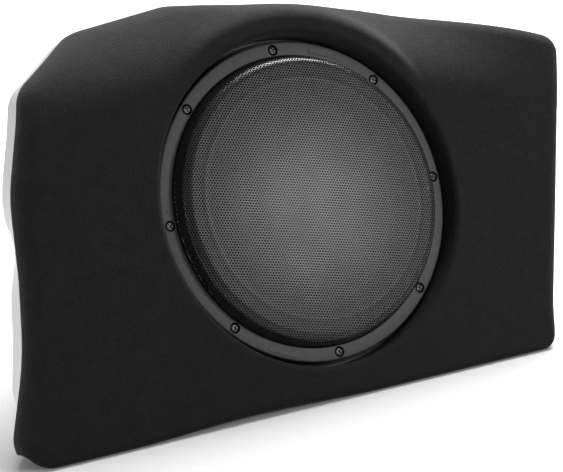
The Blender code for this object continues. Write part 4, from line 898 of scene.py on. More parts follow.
rear_outline = rounded_outline(face_corners, 7 * MM, math.radians(8))
outer_loops = rear_surface(0.0, 18, 5)
inner_loops = rear_surface(REAR_WALL, 18, 5)
rear_verts = [tuple(p) for loops in (outer_loops, inner_loops) for loop in loops for p in loop]
ring_count, loop_count = len(rear_outline), len(outer_loops)
rear_faces = []
for layer_index in range(2):
    base = layer_index * ring_count * loop_count
    for k in range(loop_count - 1):
        for i in range(ring_count):
            j = (i + 1) % ring_count
            a, b = base + k * ring_count, base + (k + 1) * ring_count
            rear_faces.append((a + i, a + j, b + j, b + i))
    rear_faces.append(tuple(base + (loop_count - 1) * ring_count + i for i in range(ring_count)))
for i in range(ring_count):
    j = (i + 1) % ring_count
    other = ring_count * loop_count
    rear_faces.append((i, j, other + j, other + i))
rear_plain = bpy.data.meshes.new("rear_body")
rear_plain.from_pydata(rear_verts, [], rear_faces)
rear_bm = bmesh.new()
rear_bm.from_mesh(rear_plain)
rear_body = make_piece("rear_body", to_mesh("rear_body", rear_bm), "grey_gelcoat", body=None, smooth=40)
print("rear shell:", len(rear_body.data.polygons), "faces before the cuts")


# %% Openings of the rear shell
def block_mesh(name, low, high):
    """A plain block between two corners, used only as a cutting tool or a base to bevel."""
    bm = bmesh.new()
    bmesh.ops.create_cube(bm, size=1.0)
    low, high = Vector(low), Vector(high)
    bmesh.ops.scale(bm, vec=high - low, verts=bm.verts)
    bmesh.ops.translate(bm, vec=(low + high) / 2, verts=bm.verts)
    return to_mesh(name, bm)


def rod_mesh(name, centre, radius, length, sides=32):
    """A plain rod along world Y through a centre, used as a drill."""
    bm = bmesh.new()
    turn = Matrix.Translation(centre) @ Matrix.Rotation(math.pi / 2, 4, "X")
    bmesh.ops.create_cone(bm, cap_ends=True, segments=sides, radius1=radius, radius2=radius, depth=length,
                          matrix=turn)
    return to_mesh(name, bm)


panel_low, panel_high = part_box("amp_panel")
PANEL_LAND = 8 * MM
amp_hole = block_mesh("amp_hole", (panel_low.x + PANEL_LAND, back_y - 0.03, panel_low.z + PANEL_LAND),
                      (panel_high.x - PANEL_LAND, back_y + 0.03, panel_high.z - PANEL_LAND))
cut_away(rear_body, amp_hole)
for label in ("amp_screw_1", "amp_screw_2", "amp_screw_3", "amp_screw_4", "bracket_bolt_1", "bracket_bolt_2"):
    low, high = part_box(label)
    hole_r = 2.1 * MM if label.startswith("amp") else 2.9 * MM
    cut_away(rear_body, rod_mesh("drill", (low + high) / 2, hole_r, 0.06))
rear_body.data.materials.clear()
rear_body.data.materials.append(looks["grey_gelcoat"])
rear_body.data.shade_smooth()
rear_body.data.set_sharp_from_angle(angle=math.radians(40))
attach(rear_body, "enclosure")
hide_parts("rear_shell")
print("rear shell:", len(rear_body.data.polygons), "faces after the cuts")

# %% [markdown]
# ## Trim ring, pads and screws
# The ring is turned from a profile whose edges are filleted, then counterbored for its eight
# screws. Two raised pads, where a maker would print a badge, stay blank. The screws are pan
# heads with a cross recess, cut once and copied round the bolt circle.

# %% Trim ring
RING_TOP, RING_T, RING_OUTER_R, RING_BORE_R = 14 * MM, 6 * MM, 138.5 * MM, 126.2 * MM
SCREW_CIRCLE_R, SCREW_COUNT, SCREW_HEAD_R, SCREW_SHANK_R = 132 * MM, 8, 4.3 * MM, 2.2 * MM
CLAMP_R, CLAMP_T = 128.8 * MM, 1.5 * MM
ring_low = -RING_TOP - RING_T
ring_corners = [
    (CLAMP_R, ring_low, 0.2 * MM),
    (RING_OUTER_R, ring_low, 0.3 * MM),
    (RING_OUTER_R, -RING_TOP, 1.6 * MM),
    (RING_BORE_R, -RING_TOP, 1.0 * MM),
    (RING_BORE_R, ring_low + CLAMP_T, 0.2 * MM),
    (CLAMP_R, ring_low + CLAMP_T, 0.1 * MM),
]
ring_mesh = turned("speaker_ring", ring_corners, 256, face_matrix)
ring_piece = make_piece("speaker_ring", ring_mesh, "ring_plastic", stands_for=("trim_ring",), smooth=40)
screw_spots = []
for k in range(SCREW_COUNT):
    a = math.pi / 2 + 2 * math.pi * k / SCREW_COUNT
    screw_spots.append((SCREW_CIRCLE_R * math.cos(a), SCREW_CIRCLE_R * math.sin(a)))
HEAD_SUNK, HEAD_T = 0.6 * MM, 2.6 * MM
HEAD_LOW = RING_TOP + HEAD_SUNK + HEAD_T
drill_bm = bmesh.new()
for x, y in screw_spots:
    for radius, low, high in ((SCREW_HEAD_R + 0.5 * MM, -HEAD_LOW - 0.3 * MM, 0.0),
                              (SCREW_SHANK_R + 0.3 * MM, -0.04, -HEAD_LOW)):
        where = Matrix.Translation((x, y, (low + high) / 2))
        bmesh.ops.create_cone(drill_bm, cap_ends=True, segments=40, radius1=radius, radius2=radius,
                              depth=high - low, matrix=where)
bores = bpy.data.meshes.new("bores")
drill_bm.to_mesh(bores)
drill_bm.free()
bores.transform(face_matrix)
cut_away(ring_piece, bores, crossing=True)
ring_piece.data.set_sharp_from_angle(angle=math.radians(35))
print("ring:", len(ring_piece.data.polygons), "faces")


# %% Blank pads and the moulding pip on the ring
def ring_pad(name, middle, half_angle, low_r, high_r, height):
    """A raised arc-shaped pad on the ring's face, with softened edges."""
    steps = 24
    bm = bmesh.new()
    levels = ((0.0, -0.2 * MM), (0.0, height * 0.55), (0.25 * MM, height))
    loops = []
    for inset, z in levels:
        loop = []
        for r, direction in ((low_r + inset, 1), (high_r - inset, -1)):
            for k in range(steps + 1):
                t = k / steps if direction > 0 else 1 - k / steps
                half = half_angle - inset / r
                a = middle - half + 2 * half * t
                loop.append(bm.verts.new((r * math.cos(a), r * math.sin(a), -RING_TOP + z)))
        loops.append(loop)
    count = len(loops[0])
    for a, b in zip(loops, loops[1:]):
        for i in range(count):
            j = (i + 1) % count
            bm.faces.new((a[i], a[j], b[j], b[i]))
    for loop in (loops[0], loops[-1]):
        for i in range(steps):
            bm.faces.new((loop[i], loop[i + 1], loop[count - 2 - i], loop[count - 1 - i]))
    return make_piece(name, to_mesh(name, bm, face_matrix), "ring_plastic", smooth=30)


PAD_HALF_ANGLE, PAD_INNER_R, PAD_OUTER_R = math.radians(7.2), 129.6 * MM, 135.6 * MM
for k, degrees in enumerate((67.5, 247.5)):
    ring_pad(f"ring_pad_{k + 1}", math.radians(degrees), PAD_HALF_ANGLE, PAD_INNER_R, PAD_OUTER_R, 0.35 * MM)
PIP_ANGLE = 3.05
pip_x, pip_y = SCREW_CIRCLE_R * math.cos(PIP_ANGLE), SCREW_CIRCLE_R * math.sin(PIP_ANGLE)
pip_at = face_matrix @ Matrix.Translation((pip_x, pip_y, -RING_TOP))
pip_corners = [
    (0, -0.2 * MM, 0),
    (1.5 * MM, -0.2 * MM, 0),
    (1.3 * MM, 0.45 * MM, 0.2 * MM),
    (0, 0.45 * MM, 0),
]
make_piece("ring_pip", turned("ring_pip", pip_corners, 32, pip_at), "ring_plastic")


# %% Cross-recessed screws
def cross_cutter(size, depth, top):
    """Two tapered blades crossed at right angles, for the driver recess of a screw."""
    bm = bmesh.new()
    for turn in (0.0, math.pi / 2):
        made = bmesh.ops.create_cube(bm, size=1.0)["verts"]
        for v in made:
            taper = 1.0 if v.co.z > 0 else 0.45
            z = top + (v.co.z - 0.5) * depth + 0.2 * MM
            v.co = Vector((v.co.x * size * taper, v.co.y * size * 0.24, z))
        bmesh.ops.rotate(bm, verts=made, cent=(0, 0, 0), matrix=Matrix.Rotation(turn, 3, "Z"))
    mesh = bpy.data.meshes.new("cross")
    bm.to_mesh(mesh)
    bm.free()
    return mesh


def screw_mesh(name, head_r, head_t, shank_r, length):
    """A pan-head screw, its head standing on z = 0, with a cross recess and a tapered tip."""
    corners = [
        (0, -length, 0),
        (shank_r * 0.3, -length, 0.1 * MM),
        (shank_r, -length + 4 * MM, 0.3 * MM),
        (shank_r, 0, 0.1 * MM),
        (head_r, 0, 0.2 * MM),
        (head_r, head_t * 0.45, head_t * 0.3),
        (head_r * 0.72, head_t, head_r * 0.25),
        (0, head_t, 0),
    ]
    made = linked(name, turned(name, corners, 48, Matrix.Identity(4)))
    cut_away(made, cross_cutter(head_r * 1.25, head_t * 0.75, head_t), crossing=True)
    mesh = made.data
    bpy.data.objects.remove(made)
    return mesh


ring_screw = screw_mesh("ring_screw", SCREW_HEAD_R, HEAD_T, SCREW_SHANK_R, 24.4 * MM)
for k, (x, y) in enumerate(screw_spots):
    mesh = ring_screw.copy()
    turn = 0.35 + 1.7 * k
    mesh.transform(face_matrix @ Matrix.Translation((x, y, -HEAD_LOW)) @ Matrix.Rotation(turn, 4, "Z"))
    make_piece(f"ring_screw_{k + 1}", mesh, "black_oxide", stands_for=(f"trim_screw_{k + 1}",), smooth=35)
print("ring screws:", SCREW_COUNT, "of", len(ring_screw.polygons), "faces")

# %% [markdown]
# ## The perforated grille
# The grille is a drawn steel pan. A flat sheet punched in a hexagonal pattern is pressed over
# a tool, so the holes stretch a little at the shoulder. The lattice is laid out flat, one
# ring of web for each hole, and every point is then carried along the pan's profile by its
# distance from the middle. The web has short inward walls, so each hole has real depth.

# %% The pan's profile, by distance along the sheet
GRILLE_RISE, GRILLE_CROWN, BEND_R, WALL_R = 16 * MM, 5 * MM, 9 * MM, 125.9 * MM
BEAD_RISE, BEAD_WIDTH = 0.07 * MM, 1.8 * MM      # a faint swell pressed into the dome near its rim
flat_r = WALL_R - 2 * MM - BEND_R
shoulder = -RING_TOP + GRILLE_RISE
profile_points = []
for k in range(121):
    r = flat_r * k / 120
    bead = BEAD_RISE * math.exp(-((r - 0.91 * flat_r) / BEAD_WIDTH) ** 2)
    profile_points.append((r, shoulder + GRILLE_CROWN * (1 - (r / flat_r) ** 2) + bead))
for k in range(1, 17):
    a = math.pi / 2 * (1 - k / 16)
    profile_points.append((flat_r + BEND_R * math.cos(a), shoulder - BEND_R + BEND_R * math.sin(a)))
profile_points.append((WALL_R, ring_low + 1.4 * MM))
profile = np.array(profile_points)
travel = np.concatenate([[0.0], np.cumsum(np.hypot(*np.diff(profile, axis=0).T))])


def on_pan(distance):
    """Radius and height on the pan's outer face at a distance along the sheet."""
    return np.interp(distance, travel, profile[:, 0]), np.interp(distance, travel, profile[:, 1])


# %% The punched lattice
HOLE_PITCH, WEB_SHARE, SHEET_T = 2.55 * MM, 0.29, 0.9 * MM
PUNCHED_TO = float(travel[-1]) - 3.5 * MM       # beyond this the sheet has a plain border
reach = int(PUNCHED_TO / HOLE_PITCH) + 2
cell_i, cell_j = np.meshgrid(np.arange(-2 * reach, 2 * reach + 1), np.arange(-2 * reach, 2 * reach + 1))
row_shift, row_height = (cell_i + cell_j * 0.5) * HOLE_PITCH, cell_j * HOLE_PITCH * math.sqrt(0.75)
centres = np.stack([row_shift, row_height], -1).reshape(-1, 2)
LATTICE_TURN = math.radians(-12.5)    # rows of holes don't run level across the face
centres = centres @ np.array([[math.cos(LATTICE_TURN), math.sin(LATTICE_TURN)],
                              [-math.sin(LATTICE_TURN), math.cos(LATTICE_TURN)]])
centres = centres[np.hypot(centres[:, 0], centres[:, 1]) < PUNCHED_TO]
corner_angle = LATTICE_TURN + np.radians(30 + 60 * np.arange(6))
corner_way = np.stack([np.cos(corner_angle), np.sin(corner_angle)], -1)
outer_flat = (centres[:, None] + corner_way * HOLE_PITCH / math.sqrt(3)).reshape(-1, 2)
hole_flat = (centres[:, None] + corner_way * HOLE_PITCH / math.sqrt(3) * (1 - WEB_SHARE)).reshape(-1, 2)
SNAP = 0.05 * MM                      # corners closer than this are one shared corner
snapped = np.round(outer_flat / SNAP).astype(int)
shared_keys, shared_index = np.unique(snapped, axis=0, return_inverse=True)
shared_index = shared_index.ravel()
shared_flat = np.zeros((len(shared_keys), 2))
shared_flat[shared_index] = outer_flat


def press(flat, below):
    """Carry flat points on to the pan, below its outer face by the sheet's thickness or less."""
    distance = np.hypot(flat[:, 0], flat[:, 1])
    around = np.arctan2(flat[:, 1], flat[:, 0])
    r, z = on_pan(distance)
    step = 0.2 * MM
    r2, z2 = on_pan(distance + step)
    slope = np.stack([r2 - r, z2 - z], -1)
    slope /= np.linalg.norm(slope, axis=1)[:, None] + 1e-12
    r, z = r + slope[:, 1] * below, z - slope[:, 0] * below
    return np.stack([r * np.cos(around), r * np.sin(around), z], -1)


# The web between two holes is one strip, and three strips meet in a small triangle. Writing
# the web round each hole as six quads instead keeps the code short and the shading even.
cells = len(centres)
web_points = np.concatenate([press(shared_flat, 0.0), press(hole_flat, 0.0), press(hole_flat, SHEET_T)])
hole_start, low_start = len(shared_flat), len(shared_flat) + 6 * cells
corner = np.arange(6)
after = (corner + 1) % 6
cell_base = np.arange(cells)[:, None] * 6
outer_a, outer_b = shared_index.reshape(-1, 6)[:, corner], shared_index.reshape(-1, 6)[:, after]
hole_a, hole_b = hole_start + cell_base + corner, hole_start + cell_base + after
low_a, low_b = low_start + cell_base + corner, low_start + cell_base + after
web_quads = np.concatenate([
    np.stack([outer_a, outer_b, hole_b, hole_a], -1).reshape(-1, 4),
    np.stack([hole_a, hole_b, low_b, low_a], -1).reshape(-1, 4),
])
grille_mesh = bpy.data.meshes.new("grille_pan")
grille_mesh.from_pydata(web_points.tolist(), [], web_quads.tolist())
grille_mesh.transform(face_matrix)
print("grille:", cells, "holes,", len(web_quads), "faces")

# %% The plain border of the pan, down the wall to the clamped flange
border_top = float(np.interp(PUNCHED_TO - 1.5 * MM, travel, profile[:, 1]))
border_r = float(np.interp(PUNCHED_TO - 1.5 * MM, travel, profile[:, 0]))
SINK = 0.15 * MM                      # the border starts just inside the punched sheet
border_corners = [
    (border_r - SINK, border_top, 0),
    (border_r - 0.9 * MM, border_top, 0),
    (WALL_R - 1.2 * MM, ring_low + 0.2 * MM, 0.4 * MM),
    (CLAMP_R - 0.4 * MM, ring_low + 0.2 * MM, 0.1 * MM),
    (CLAMP_R - 0.4 * MM, ring_low + 1.3 * MM, 0.1 * MM),
    (WALL_R + 0.05 * MM, ring_low + 1.3 * MM, 0.6 * MM),
]
make_piece("grille_pan", grille_mesh, "grille_steel", stands_for=("grille_mesh",), smooth=50)
# second slot: painted shade on the walls of the holes
grille_mesh.materials.append(looks["painted_hole_shade"])
wall_index = np.zeros(len(web_quads), dtype=np.int32)
wall_index[6 * cells:] = 1            # the walls of the holes, painted darker for the shade inside them
grille_mesh.polygons.foreach_set("material_index", wall_index)
border_mesh = turned("grille_border", border_corners, 256, face_matrix)
make_piece("grille_border", border_mesh, "grille_steel")

# %% [markdown]
# ## Cone, cap, surround and spider
# Behind the grille the cone, its cap and the rubber roll are turned finely. The surround and
# the spider cross the joint: their outer edge stays with the basket, their inner edge travels
# with the cone.

# %% Cone and dust cap
CONE_R, COIL_R, CONE_TOP, NECK_LOW = 92 * MM, 25.4 * MM, 25.1 * MM, 67.1 * MM
NECK_R = COIL_R + 0.3 * MM
knee_r, knee_z = CONE_R * 0.62, CONE_TOP + 15.5 * MM
cone_corners = [
    (CONE_R + 1 * MM, -CONE_TOP, 0.3 * MM),
    (CONE_R - 5 * MM, -CONE_TOP, 1.2 * MM),
    (knee_r, -knee_z, 60 * MM),
    (NECK_R, -NECK_LOW, 0.2 * MM),
    (NECK_R, -NECK_LOW - 1.8 * MM, 0.2 * MM),
    (NECK_R + 2 * MM, -NECK_LOW - 1.8 * MM, 0.3 * MM),
    (knee_r + 1.2 * MM, -knee_z - 2.4 * MM, 60 * MM),
    (CONE_R - 5 * MM, -CONE_TOP - 1.8 * MM, 1.0 * MM),
    (CONE_R + 1 * MM, -CONE_TOP - 1.8 * MM, 0.3 * MM),
]
make_piece("cone_body", turned("cone_body", cone_corners, 128, face_matrix, math.radians(4)), "cone_pp",
           body="cone_assembly", stands_for=("woofer_cone",), smooth=40)
cap_r = 0.44 * CONE_R
cap_z = NECK_LOW - (NECK_LOW - knee_z) * (cap_r - NECK_R) / (knee_r - NECK_R) - 0.7 * MM
CAP_RISE, CAP_T = 13 * MM, 1.2 * MM
cap_profile = [(cap_r * (1 - k / 12), -cap_z + CAP_RISE * (1 - (1 - k / 12) ** 2), 0) for k in range(13)]
cap_inner = cap_r - 1.4 * MM
cap_profile += [(cap_inner * k / 12, -cap_z - CAP_T * (1 - k / 12) + CAP_RISE * (1 - (k / 12) ** 2), 0)
                for k in range(13)]
make_piece("cap_dome", turned("cap_dome", cap_profile, 96, face_matrix), "cone_pp", body="cone_assembly",
           stands_for=("dust_cap",), smooth=60)


# %% Surround and spider
def radial_blend(made):
    """Bake the piece's placement into its own mesh data."""
    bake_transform(made)


RUBBER_T, BODY_R, LEDGE = 1.4 * MM, 119.5 * MM, 23.0 * MM
foot_z, roll_z = -LEDGE + 0.3 * MM, -CONE_TOP + 0.3 * MM
roll_out, roll_in = BODY_R - 8.5 * MM, CONE_R + 1.5 * MM
roll_mid, roll_half = (roll_out + roll_in) / 2, (roll_out - roll_in) / 2
roll_arc = [math.pi * k / 20 for k in range(21)]
over_r, under_r, under_rise = roll_half + RUBBER_T / 2, roll_half - RUBBER_T / 2, roll_half - 0.2 * MM
over = [(roll_mid + over_r * math.cos(a), roll_z + RUBBER_T + roll_half * math.sin(a), 0)
        for a in roll_arc]
under = [(roll_mid + under_r * math.cos(a), roll_z + under_rise * math.sin(a), 0) for a in roll_arc]
over[0] = (over[0][0], foot_z + RUBBER_T, 0)
under[0] = (under[0][0], foot_z, 0)
roll_profile = [(BODY_R, foot_z, 0), (BODY_R, foot_z + RUBBER_T, 0)] + over
roll_profile += [(CONE_R - 5 * MM, roll_z + RUBBER_T, 0), (CONE_R - 5 * MM, roll_z, 0)] + under[::-1]
roll = make_piece("surround_roll", turned("surround_roll", roll_profile, 160, face_matrix), "surround_rubber",
                  body=None, stands_for=("surround",), smooth=50)
radial_blend(roll)

SHELF_LOW, SHELF_R, SKIRT_R = 72.3 * MM, 72 * MM, 62.5 * MM
SPIDER_T = 0.8 * MM
spider_z, spider_in, spider_out = -SHELF_LOW + 0.3 * MM, COIL_R + 0.3 * MM, SHELF_R - 1 * MM
wave_from, wave_to, WAVES = spider_in + 2.5 * MM, SKIRT_R - 3.5 * MM, 5
crest = []
for k in range(WAVES * 10 + 1):
    t = k / (WAVES * 10)
    lift = 1.3 * MM * math.sin(2 * math.pi * WAVES * t) + 1.7 * MM * math.sin(math.pi * t)
    crest.append((wave_from + (wave_to - wave_from) * t, lift))
spider_profile = [(spider_in, spider_z, 0), (spider_in, spider_z + SPIDER_T, 0)]
spider_profile += [(r, spider_z + SPIDER_T + z, 0) for r, z in crest]
spider_profile += [(spider_out, spider_z + SPIDER_T, 0), (spider_out, spider_z, 0)]
spider_profile += [(r, spider_z + z, 0) for r, z in crest[::-1]]
web = make_piece("spider_web", turned("spider_web", spider_profile, 120, face_matrix), "spider_cloth",
                 body=None, stands_for=("spider",), smooth=60)
radial_blend(web)
print("moving skin:", len(roll.data.vertices) + len(web.data.vertices), "blended vertices")


# %% [markdown]
# The tinsel leads also bend between the basket and the cone. Each keeps its packed course
# and is smoothed by one subdivision.

# %% Tinsel leads
for label in ("tinsel_lead_1", "tinsel_lead_2"):
    lead = linked(label + "_braid", nodes[label].data.copy())
    refine = lead.modifiers.new("refine", "SUBSURF")
    refine.levels = 1
    refine.render_levels = 1
    applied(lead)
    lead.data.materials.clear()
    lead.data.materials.append(looks["tinsel"])
    lead.data.shade_smooth()
    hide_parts(label)
    radial_blend(lead)

# %% [markdown]
# ## Softened parts
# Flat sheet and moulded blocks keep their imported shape, but no real edge is perfectly sharp.
# Each is copied, its triangles are merged back to whole faces, and a small Bevel catches the
# light along every edge.


# %% Bevelled copies of the blocky parts
def softened(label, width, segments=2):
    """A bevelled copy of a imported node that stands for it."""
    bm = bmesh.new()
    bm.from_mesh(nodes[label].data)
    bmesh.ops.remove_doubles(bm, verts=bm.verts, dist=1e-6)
    bmesh.ops.dissolve_limit(bm, angle_limit=math.radians(1.0), verts=bm.verts, edges=bm.edges)
    mesh = to_mesh(label + "_fine", bm)
    body = nodes[label]["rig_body"]
    made = make_piece(label + "_fine", mesh, slot_of[label], body=None, stands_for=(label,))
    edge = made.modifiers.new("edge", "BEVEL")
    edge.width = width
    edge.segments = segments
    edge.limit_method = "ANGLE"
    edge.angle_limit = math.radians(32)
    edge.harden_normals = False
    applied(made)
    made.data.shade_smooth()
    made.data.set_sharp_from_angle(angle=math.radians(50))
    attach(made, body)
    return made


EDGE_WIDTHS = {
    "amp_panel": 0.35,
    "floor_bracket_1": 0.4,
    "floor_bracket_2": 0.4,
    "heatsink": 0.3,
    "power_terminals": 0.4,
    "amp_housing": 0.25,
    "circuit_board": 0.15,
    "power_transistor_1": 0.3,
    "power_transistor_2": 0.3,
    "terminal_block": 0.5,
    "control_block": 0.3,
    "input_switch": 0.4,
    "phase_switch": 0.4,
}
for label, width in EDGE_WIDTHS.items():
    softened(label, width * MM)
print("softened parts done")

# %% [markdown]
# ## Controls on the amplifier panel
# The panel's frame has its x to the world's left, y up and z outwards. Knobs get a fluted
# grip, a skirt and a white pointer; each has a scale of plain printed ticks. The fuses have
# the waisted plastic body of a blade fuse, the jacks a gold shell round a coloured insulator.

# %% Panel frame and scale ticks
panel_face_y = panel_high.y
panel_frame = Matrix(((-1, 0, 0, 0), (0, 0, 1, panel_face_y), (0, 1, 0, 0), (0, 0, 0, 1)))


def at_panel(x, z, out=0.0):
    """A frame on the panel's face at a world x and z, its own z pointing out of the panel."""
    return Matrix.Translation((x, out, z)) @ panel_frame


def on_panel(label, out=0.0):
    """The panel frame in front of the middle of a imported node."""
    low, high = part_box(label)
    return at_panel((low.x + high.x) / 2, (low.z + high.z) / 2, out)


KNOB_R, KNOB_H, KNOB_GAP = 6 * MM, 9 * MM, 0.8 * MM
SCALE_R = KNOB_R + 1.2 * MM
jacks_low, jacks_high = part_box("rca_jacks")
for label in ("gain_knob", "crossover_knob", "bass_knob"):
    where = on_panel(label)
    grip_corners = [
        (0, KNOB_GAP, 0),
        (KNOB_R, KNOB_GAP, 0.3 * MM),
        (KNOB_R, KNOB_GAP + 2.0 * MM, 0.4 * MM),
        (KNOB_R * 0.86, KNOB_GAP + 2.6 * MM, 0.5 * MM),
        (KNOB_R * 0.80, KNOB_GAP + KNOB_H, 0.8 * MM),
        (KNOB_R * 0.45, KNOB_GAP + KNOB_H - 0.35 * MM, 1.5 * MM),
        (0, KNOB_GAP + KNOB_H - 0.35 * MM, 0),
    ]
    grip_mesh = turned(label + "_grip", grip_corners, 144, where, flutes=18, flute_depth=0.35 * MM)
    make_piece(label + "_grip", grip_mesh, "knob_plastic", body=label + "_body", stands_for=(label,),
               smooth=40)
    pointer = block_mesh(label + "_pointer", (-0.4 * MM, KNOB_R * 0.25, KNOB_GAP + KNOB_H - 0.5 * MM),
                         (0.4 * MM, KNOB_R * 0.76, KNOB_GAP + KNOB_H + 0.06 * MM))
    pointer.transform(where)
    make_piece(label + "_pointer", pointer, "switch_plastic", body=label + "_body")
    shaft_corners = [(0, -9 * MM, 0), (3 * MM, -9 * MM, 0.3 * MM), (3 * MM, KNOB_GAP + 1 * MM, 0.1 * MM),
                     (0, KNOB_GAP + 1 * MM, 0)]
    make_piece(label + "_shaft", turned(label + "_shaft", shaft_corners, 32, where), "knob_plastic",
               body=label + "_body")
    ticks = bmesh.new()
    for k in range(11):
        a = math.radians(90 + 140 - 28 * k)
        long = 1.9 * MM if k in (0, 5, 10) else 1.2 * MM
        tip = where @ Vector(((SCALE_R + long) * math.cos(a), (SCALE_R + long) * math.sin(a), 0))
        if tip.x > jacks_low.x - 0.3 * MM and jacks_low.z < tip.z < jacks_high.z:
            continue                  # the jacks' base covers this tick
        made = bmesh.ops.create_cube(ticks, size=1.0)["verts"]
        bmesh.ops.scale(ticks, vec=(long, 0.32 * MM, 0.16 * MM), verts=made)
        bmesh.ops.translate(ticks, vec=(SCALE_R + long / 2, 0, 0.02 * MM), verts=made)
        bmesh.ops.rotate(ticks, verts=made, cent=(0, 0, 0), matrix=Matrix.Rotation(a, 3, "Z"))
    make_piece(label + "_scale", to_mesh(label + "_scale", ticks, where), "switch_plastic")
print("knobs and scales done")

# %% Amplifier screws and bracket bolts
amp_screw = screw_mesh("panel_screw", 3.3 * MM, 2.1 * MM, 1.7 * MM, 12 * MM)
for k in range(4):
    mesh = amp_screw.copy()
    mesh.transform(on_panel(f"amp_screw_{k + 1}", 0.3 * MM) @ Matrix.Rotation(0.6 + k, 4, "Z"))
    make_piece(f"panel_screw_{k + 1}", mesh, "black_oxide", stands_for=(f"amp_screw_{k + 1}",), smooth=35)


def bolt_mesh(name, where):
    """A flanged hexagon bolt, its flange standing on z = 0."""
    bm = bmesh.new()
    levels = [(5.0, 0.0, 1), (5.0, 0.7, 1), (4.2, 0.9, 6), (4.2, 3.3, 6), (3.6, 3.8, 6)]
    steps = 72
    loops = []
    for radius, z, sides in levels:
        loop = []
        for k in range(steps):
            a = 2 * math.pi * k / steps
            r = radius
            if sides == 6:
                r = radius * math.cos(math.pi / 6) / math.cos((a % (math.pi / 3)) - math.pi / 6)
            loop.append(bm.verts.new((r * MM * math.cos(a), r * MM * math.sin(a), z * MM)))
        loops.append(loop)
    for a, b in zip(loops, loops[1:]):
        for i in range(steps):
            j = (i + 1) % steps
            bm.faces.new((a[i], a[j], b[j], b[i]))
    bm.faces.new(loops[-1])
    shank = bmesh.ops.create_cone(bm, cap_ends=False, segments=steps, radius1=2.5 * MM, radius2=2.5 * MM,
                                  depth=14 * MM, matrix=Matrix.Translation((0, 0, -7 * MM)))["verts"]
    low_ring = [v for v in shank if v.co.z < -10 * MM]
    bm.faces.new(sorted(low_ring, key=lambda v: math.atan2(v.co.y, v.co.x)))
    top_ring = sorted([v for v in shank if v.co.z > -1 * MM], key=lambda v: math.atan2(v.co.y, v.co.x))
    under_ring = sorted(loops[0], key=lambda v: math.atan2(v.co.y, v.co.x))
    for i in range(steps):
        j = (i + 1) % steps
        bm.faces.new((under_ring[i], under_ring[j], top_ring[j], top_ring[i]))
    return to_mesh(name, bm, where)


BRACKET_T = 2.8 * MM
for k in range(2):
    seat_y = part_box(f"floor_bracket_{k + 1}")[0].y + BRACKET_T
    where = Matrix.Translation((0, seat_y - panel_face_y, 0)) @ on_panel(f"bracket_bolt_{k + 1}")
    make_piece(f"hex_bolt_{k + 1}", bolt_mesh(f"hex_bolt_{k + 1}", where), "black_oxide",
               stands_for=(f"bracket_bolt_{k + 1}",), smooth=30)

# %% Jacks, fuses, clamp screws and the status light
low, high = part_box("rca_jacks")
softened("rca_jacks", 0.25 * MM)
jack_x = (low.x + high.x) / 2
for k, colour in enumerate(((0.75, 0.02, 0.02), (0.8, 0.8, 0.78))):
    shade = tuple(c * 0.85 for c in colour)
    looks[f"jack_{k}"] = finish_material(f"jack_insulator_{k + 1}", colour, shade, 0.35)
    z = (low.z + high.z) / 2 + (k - 0.5) * 15 * MM
    where = at_panel(jack_x, z, 0.3 * MM)
    shell_corners = [
        (4.15 * MM, 2.9 * MM, 0),
        (4.45 * MM, 2.9 * MM, 0.1 * MM),
        (4.45 * MM, 9.6 * MM, 0.3 * MM),
        (4.15 * MM, 9.6 * MM, 0.1 * MM),
    ]
    make_piece(f"jack_shell_{k + 1}", turned(f"jack_shell_{k + 1}", shell_corners, 64, where), "tinsel",
               look="gold_plate")
    core_corners = [
        (1.9 * MM, 9.9 * MM, 0.1 * MM),
        (3.9 * MM, 9.9 * MM, 0.2 * MM),
        (3.9 * MM, 10.4 * MM, 0.2 * MM),
        (1.9 * MM, 10.4 * MM, 0.2 * MM),
    ]
    make_piece(f"jack_face_{k + 1}", turned(f"jack_face_{k + 1}", core_corners, 64, where), "switch_plastic",
               look=f"jack_{k}")
for label in ("fuse_1", "fuse_2"):
    low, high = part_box(label)
    body_piece = softened(label, 0.5 * MM, 3)
    mid_x, mid_z = (low.x + high.x) / 2, (low.z + high.z) / 2
    waist = block_mesh("waist", (mid_x - 4.2 * MM, high.y - 1.2 * MM, mid_z - 1.3 * MM),
                       (mid_x + 4.2 * MM, high.y + 1 * MM, mid_z + 1.3 * MM))
    cut_away(body_piece, waist)
    body_piece.data.set_sharp_from_angle(angle=math.radians(40))
low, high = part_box("power_terminals")
clamp_mesh = screw_mesh("clamp_screw", 3.4 * MM, 1.6 * MM, 2.0 * MM, 4.5 * MM)
for k in range(3):
    x = (low.x + high.x) / 2 + (k - 1) * 13.5 * MM
    mesh = clamp_mesh.copy()
    upright = Matrix.Translation((x, (low.y + high.y) / 2 + 1 * MM, high.z - 0.9 * MM))
    mesh.transform(upright @ Matrix.Rotation(0.4 + 0.9 * k, 4, "Z"))
    make_piece(f"clamp_screw_{k + 1}", mesh, "zinc_steel", smooth=35)
led_at = on_panel("status_led")
LED_R = 1.4 * MM
led_profile = [(0, -4 * MM, 0), (LED_R, -4 * MM, 0), (LED_R, 0.9 * MM, 0)]
led_profile += [(LED_R * math.cos(a), 0.9 * MM + 1.1 * MM * math.sin(a), 0)
                for a in (math.pi / 2 * k / 8 for k in range(1, 9))]
led_mesh = turned("led_dome", led_profile, 40, led_at)
make_piece("led_dome", led_mesh, "led_lens", stands_for=("status_led",), smooth=60)
print("panel fittings done")

# %% [markdown]
# ## Rounds of the motor
# The magnet, its plates, the coil and its former are plain turned rings. They are turned
# again from the same sizes, at a fine step, so that they stay round close up.


# %% Turned rings of the motor
def motor_ring(name, label, corners, steps=128, body="enclosure"):
    """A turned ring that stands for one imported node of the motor."""
    return make_piece(name, turned(name, corners, steps, face_matrix), slot_of[label], body=body,
                      stands_for=(label,), smooth=35)


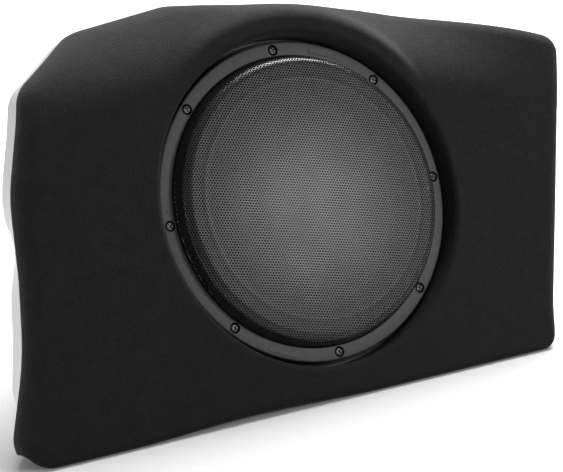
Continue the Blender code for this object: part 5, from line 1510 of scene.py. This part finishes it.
MAGNET_R, PLATE_TOP, PLATE_T, MAGNET_T = 60 * MM, 94.1 * MM, 8 * MM, 20 * MM
magnet_top = PLATE_TOP + PLATE_T + 0.3 * MM
yoke_top = magnet_top + MAGNET_T + 0.3 * MM
pole_r, VENT_R = COIL_R - 1.5 * MM, 7 * MM
motor_ring("plate_disc", "top_plate", [
    (COIL_R + 3.2 * MM, -PLATE_TOP - PLATE_T, 0.4 * MM), (MAGNET_R, -PLATE_TOP - PLATE_T, 0.6 * MM),
    (MAGNET_R, -PLATE_TOP, 0.8 * MM), (COIL_R + 3.2 * MM, -PLATE_TOP, 0.4 * MM)])
motor_ring("magnet_slug", "magnet", [
    (COIL_R + 8.6 * MM, -magnet_top - MAGNET_T, 0.5 * MM), (MAGNET_R, -magnet_top - MAGNET_T, 1.8 * MM),
    (MAGNET_R, -magnet_top, 1.8 * MM), (COIL_R + 8.6 * MM, -magnet_top, 0.5 * MM)])
motor_ring("yoke", "back_plate", [
    (VENT_R, -yoke_top - PLATE_T, 1.0 * MM), (MAGNET_R - 2 * MM, -yoke_top - PLATE_T, 2.0 * MM),
    (MAGNET_R - 1 * MM, -yoke_top, 0.6 * MM), (pole_r, -yoke_top, 0.8 * MM), (pole_r, -PLATE_TOP, 1.0 * MM),
    (VENT_R, -PLATE_TOP, 1.0 * MM)])
former_low = PLATE_TOP + PLATE_T + 5.5 * MM
motor_ring("former_tube", "coil_former", [
    (COIL_R - 0.8 * MM, -former_low, 0.1 * MM), (COIL_R, -former_low, 0.1 * MM),
    (COIL_R, -NECK_LOW + 1 * MM, 0.1 * MM), (COIL_R - 0.8 * MM, -NECK_LOW + 1 * MM, 0.1 * MM)],
    body="cone_assembly")
COIL_LENGTH, TURN_COUNT = 17.7 * MM, 36
coil_profile = [(COIL_R + 0.3 * MM, -former_low + 0.8 * MM, 0)]
for k in range(TURN_COUNT):
    z = -former_low + 0.8 * MM + COIL_LENGTH * k / TURN_COUNT
    coil_profile += [(COIL_R + 1.55 * MM, z, 0), (COIL_R + 1.8 * MM, z + COIL_LENGTH / TURN_COUNT / 2, 0)]
coil_profile += [(COIL_R + 1.55 * MM, -former_low + 0.8 * MM + COIL_LENGTH, 0),
                 (COIL_R + 0.3 * MM, -former_low + 0.8 * MM + COIL_LENGTH, 0)]
motor_ring("coil_winding", "voice_coil", coil_profile, 96, "cone_assembly")
print("motor rings done")
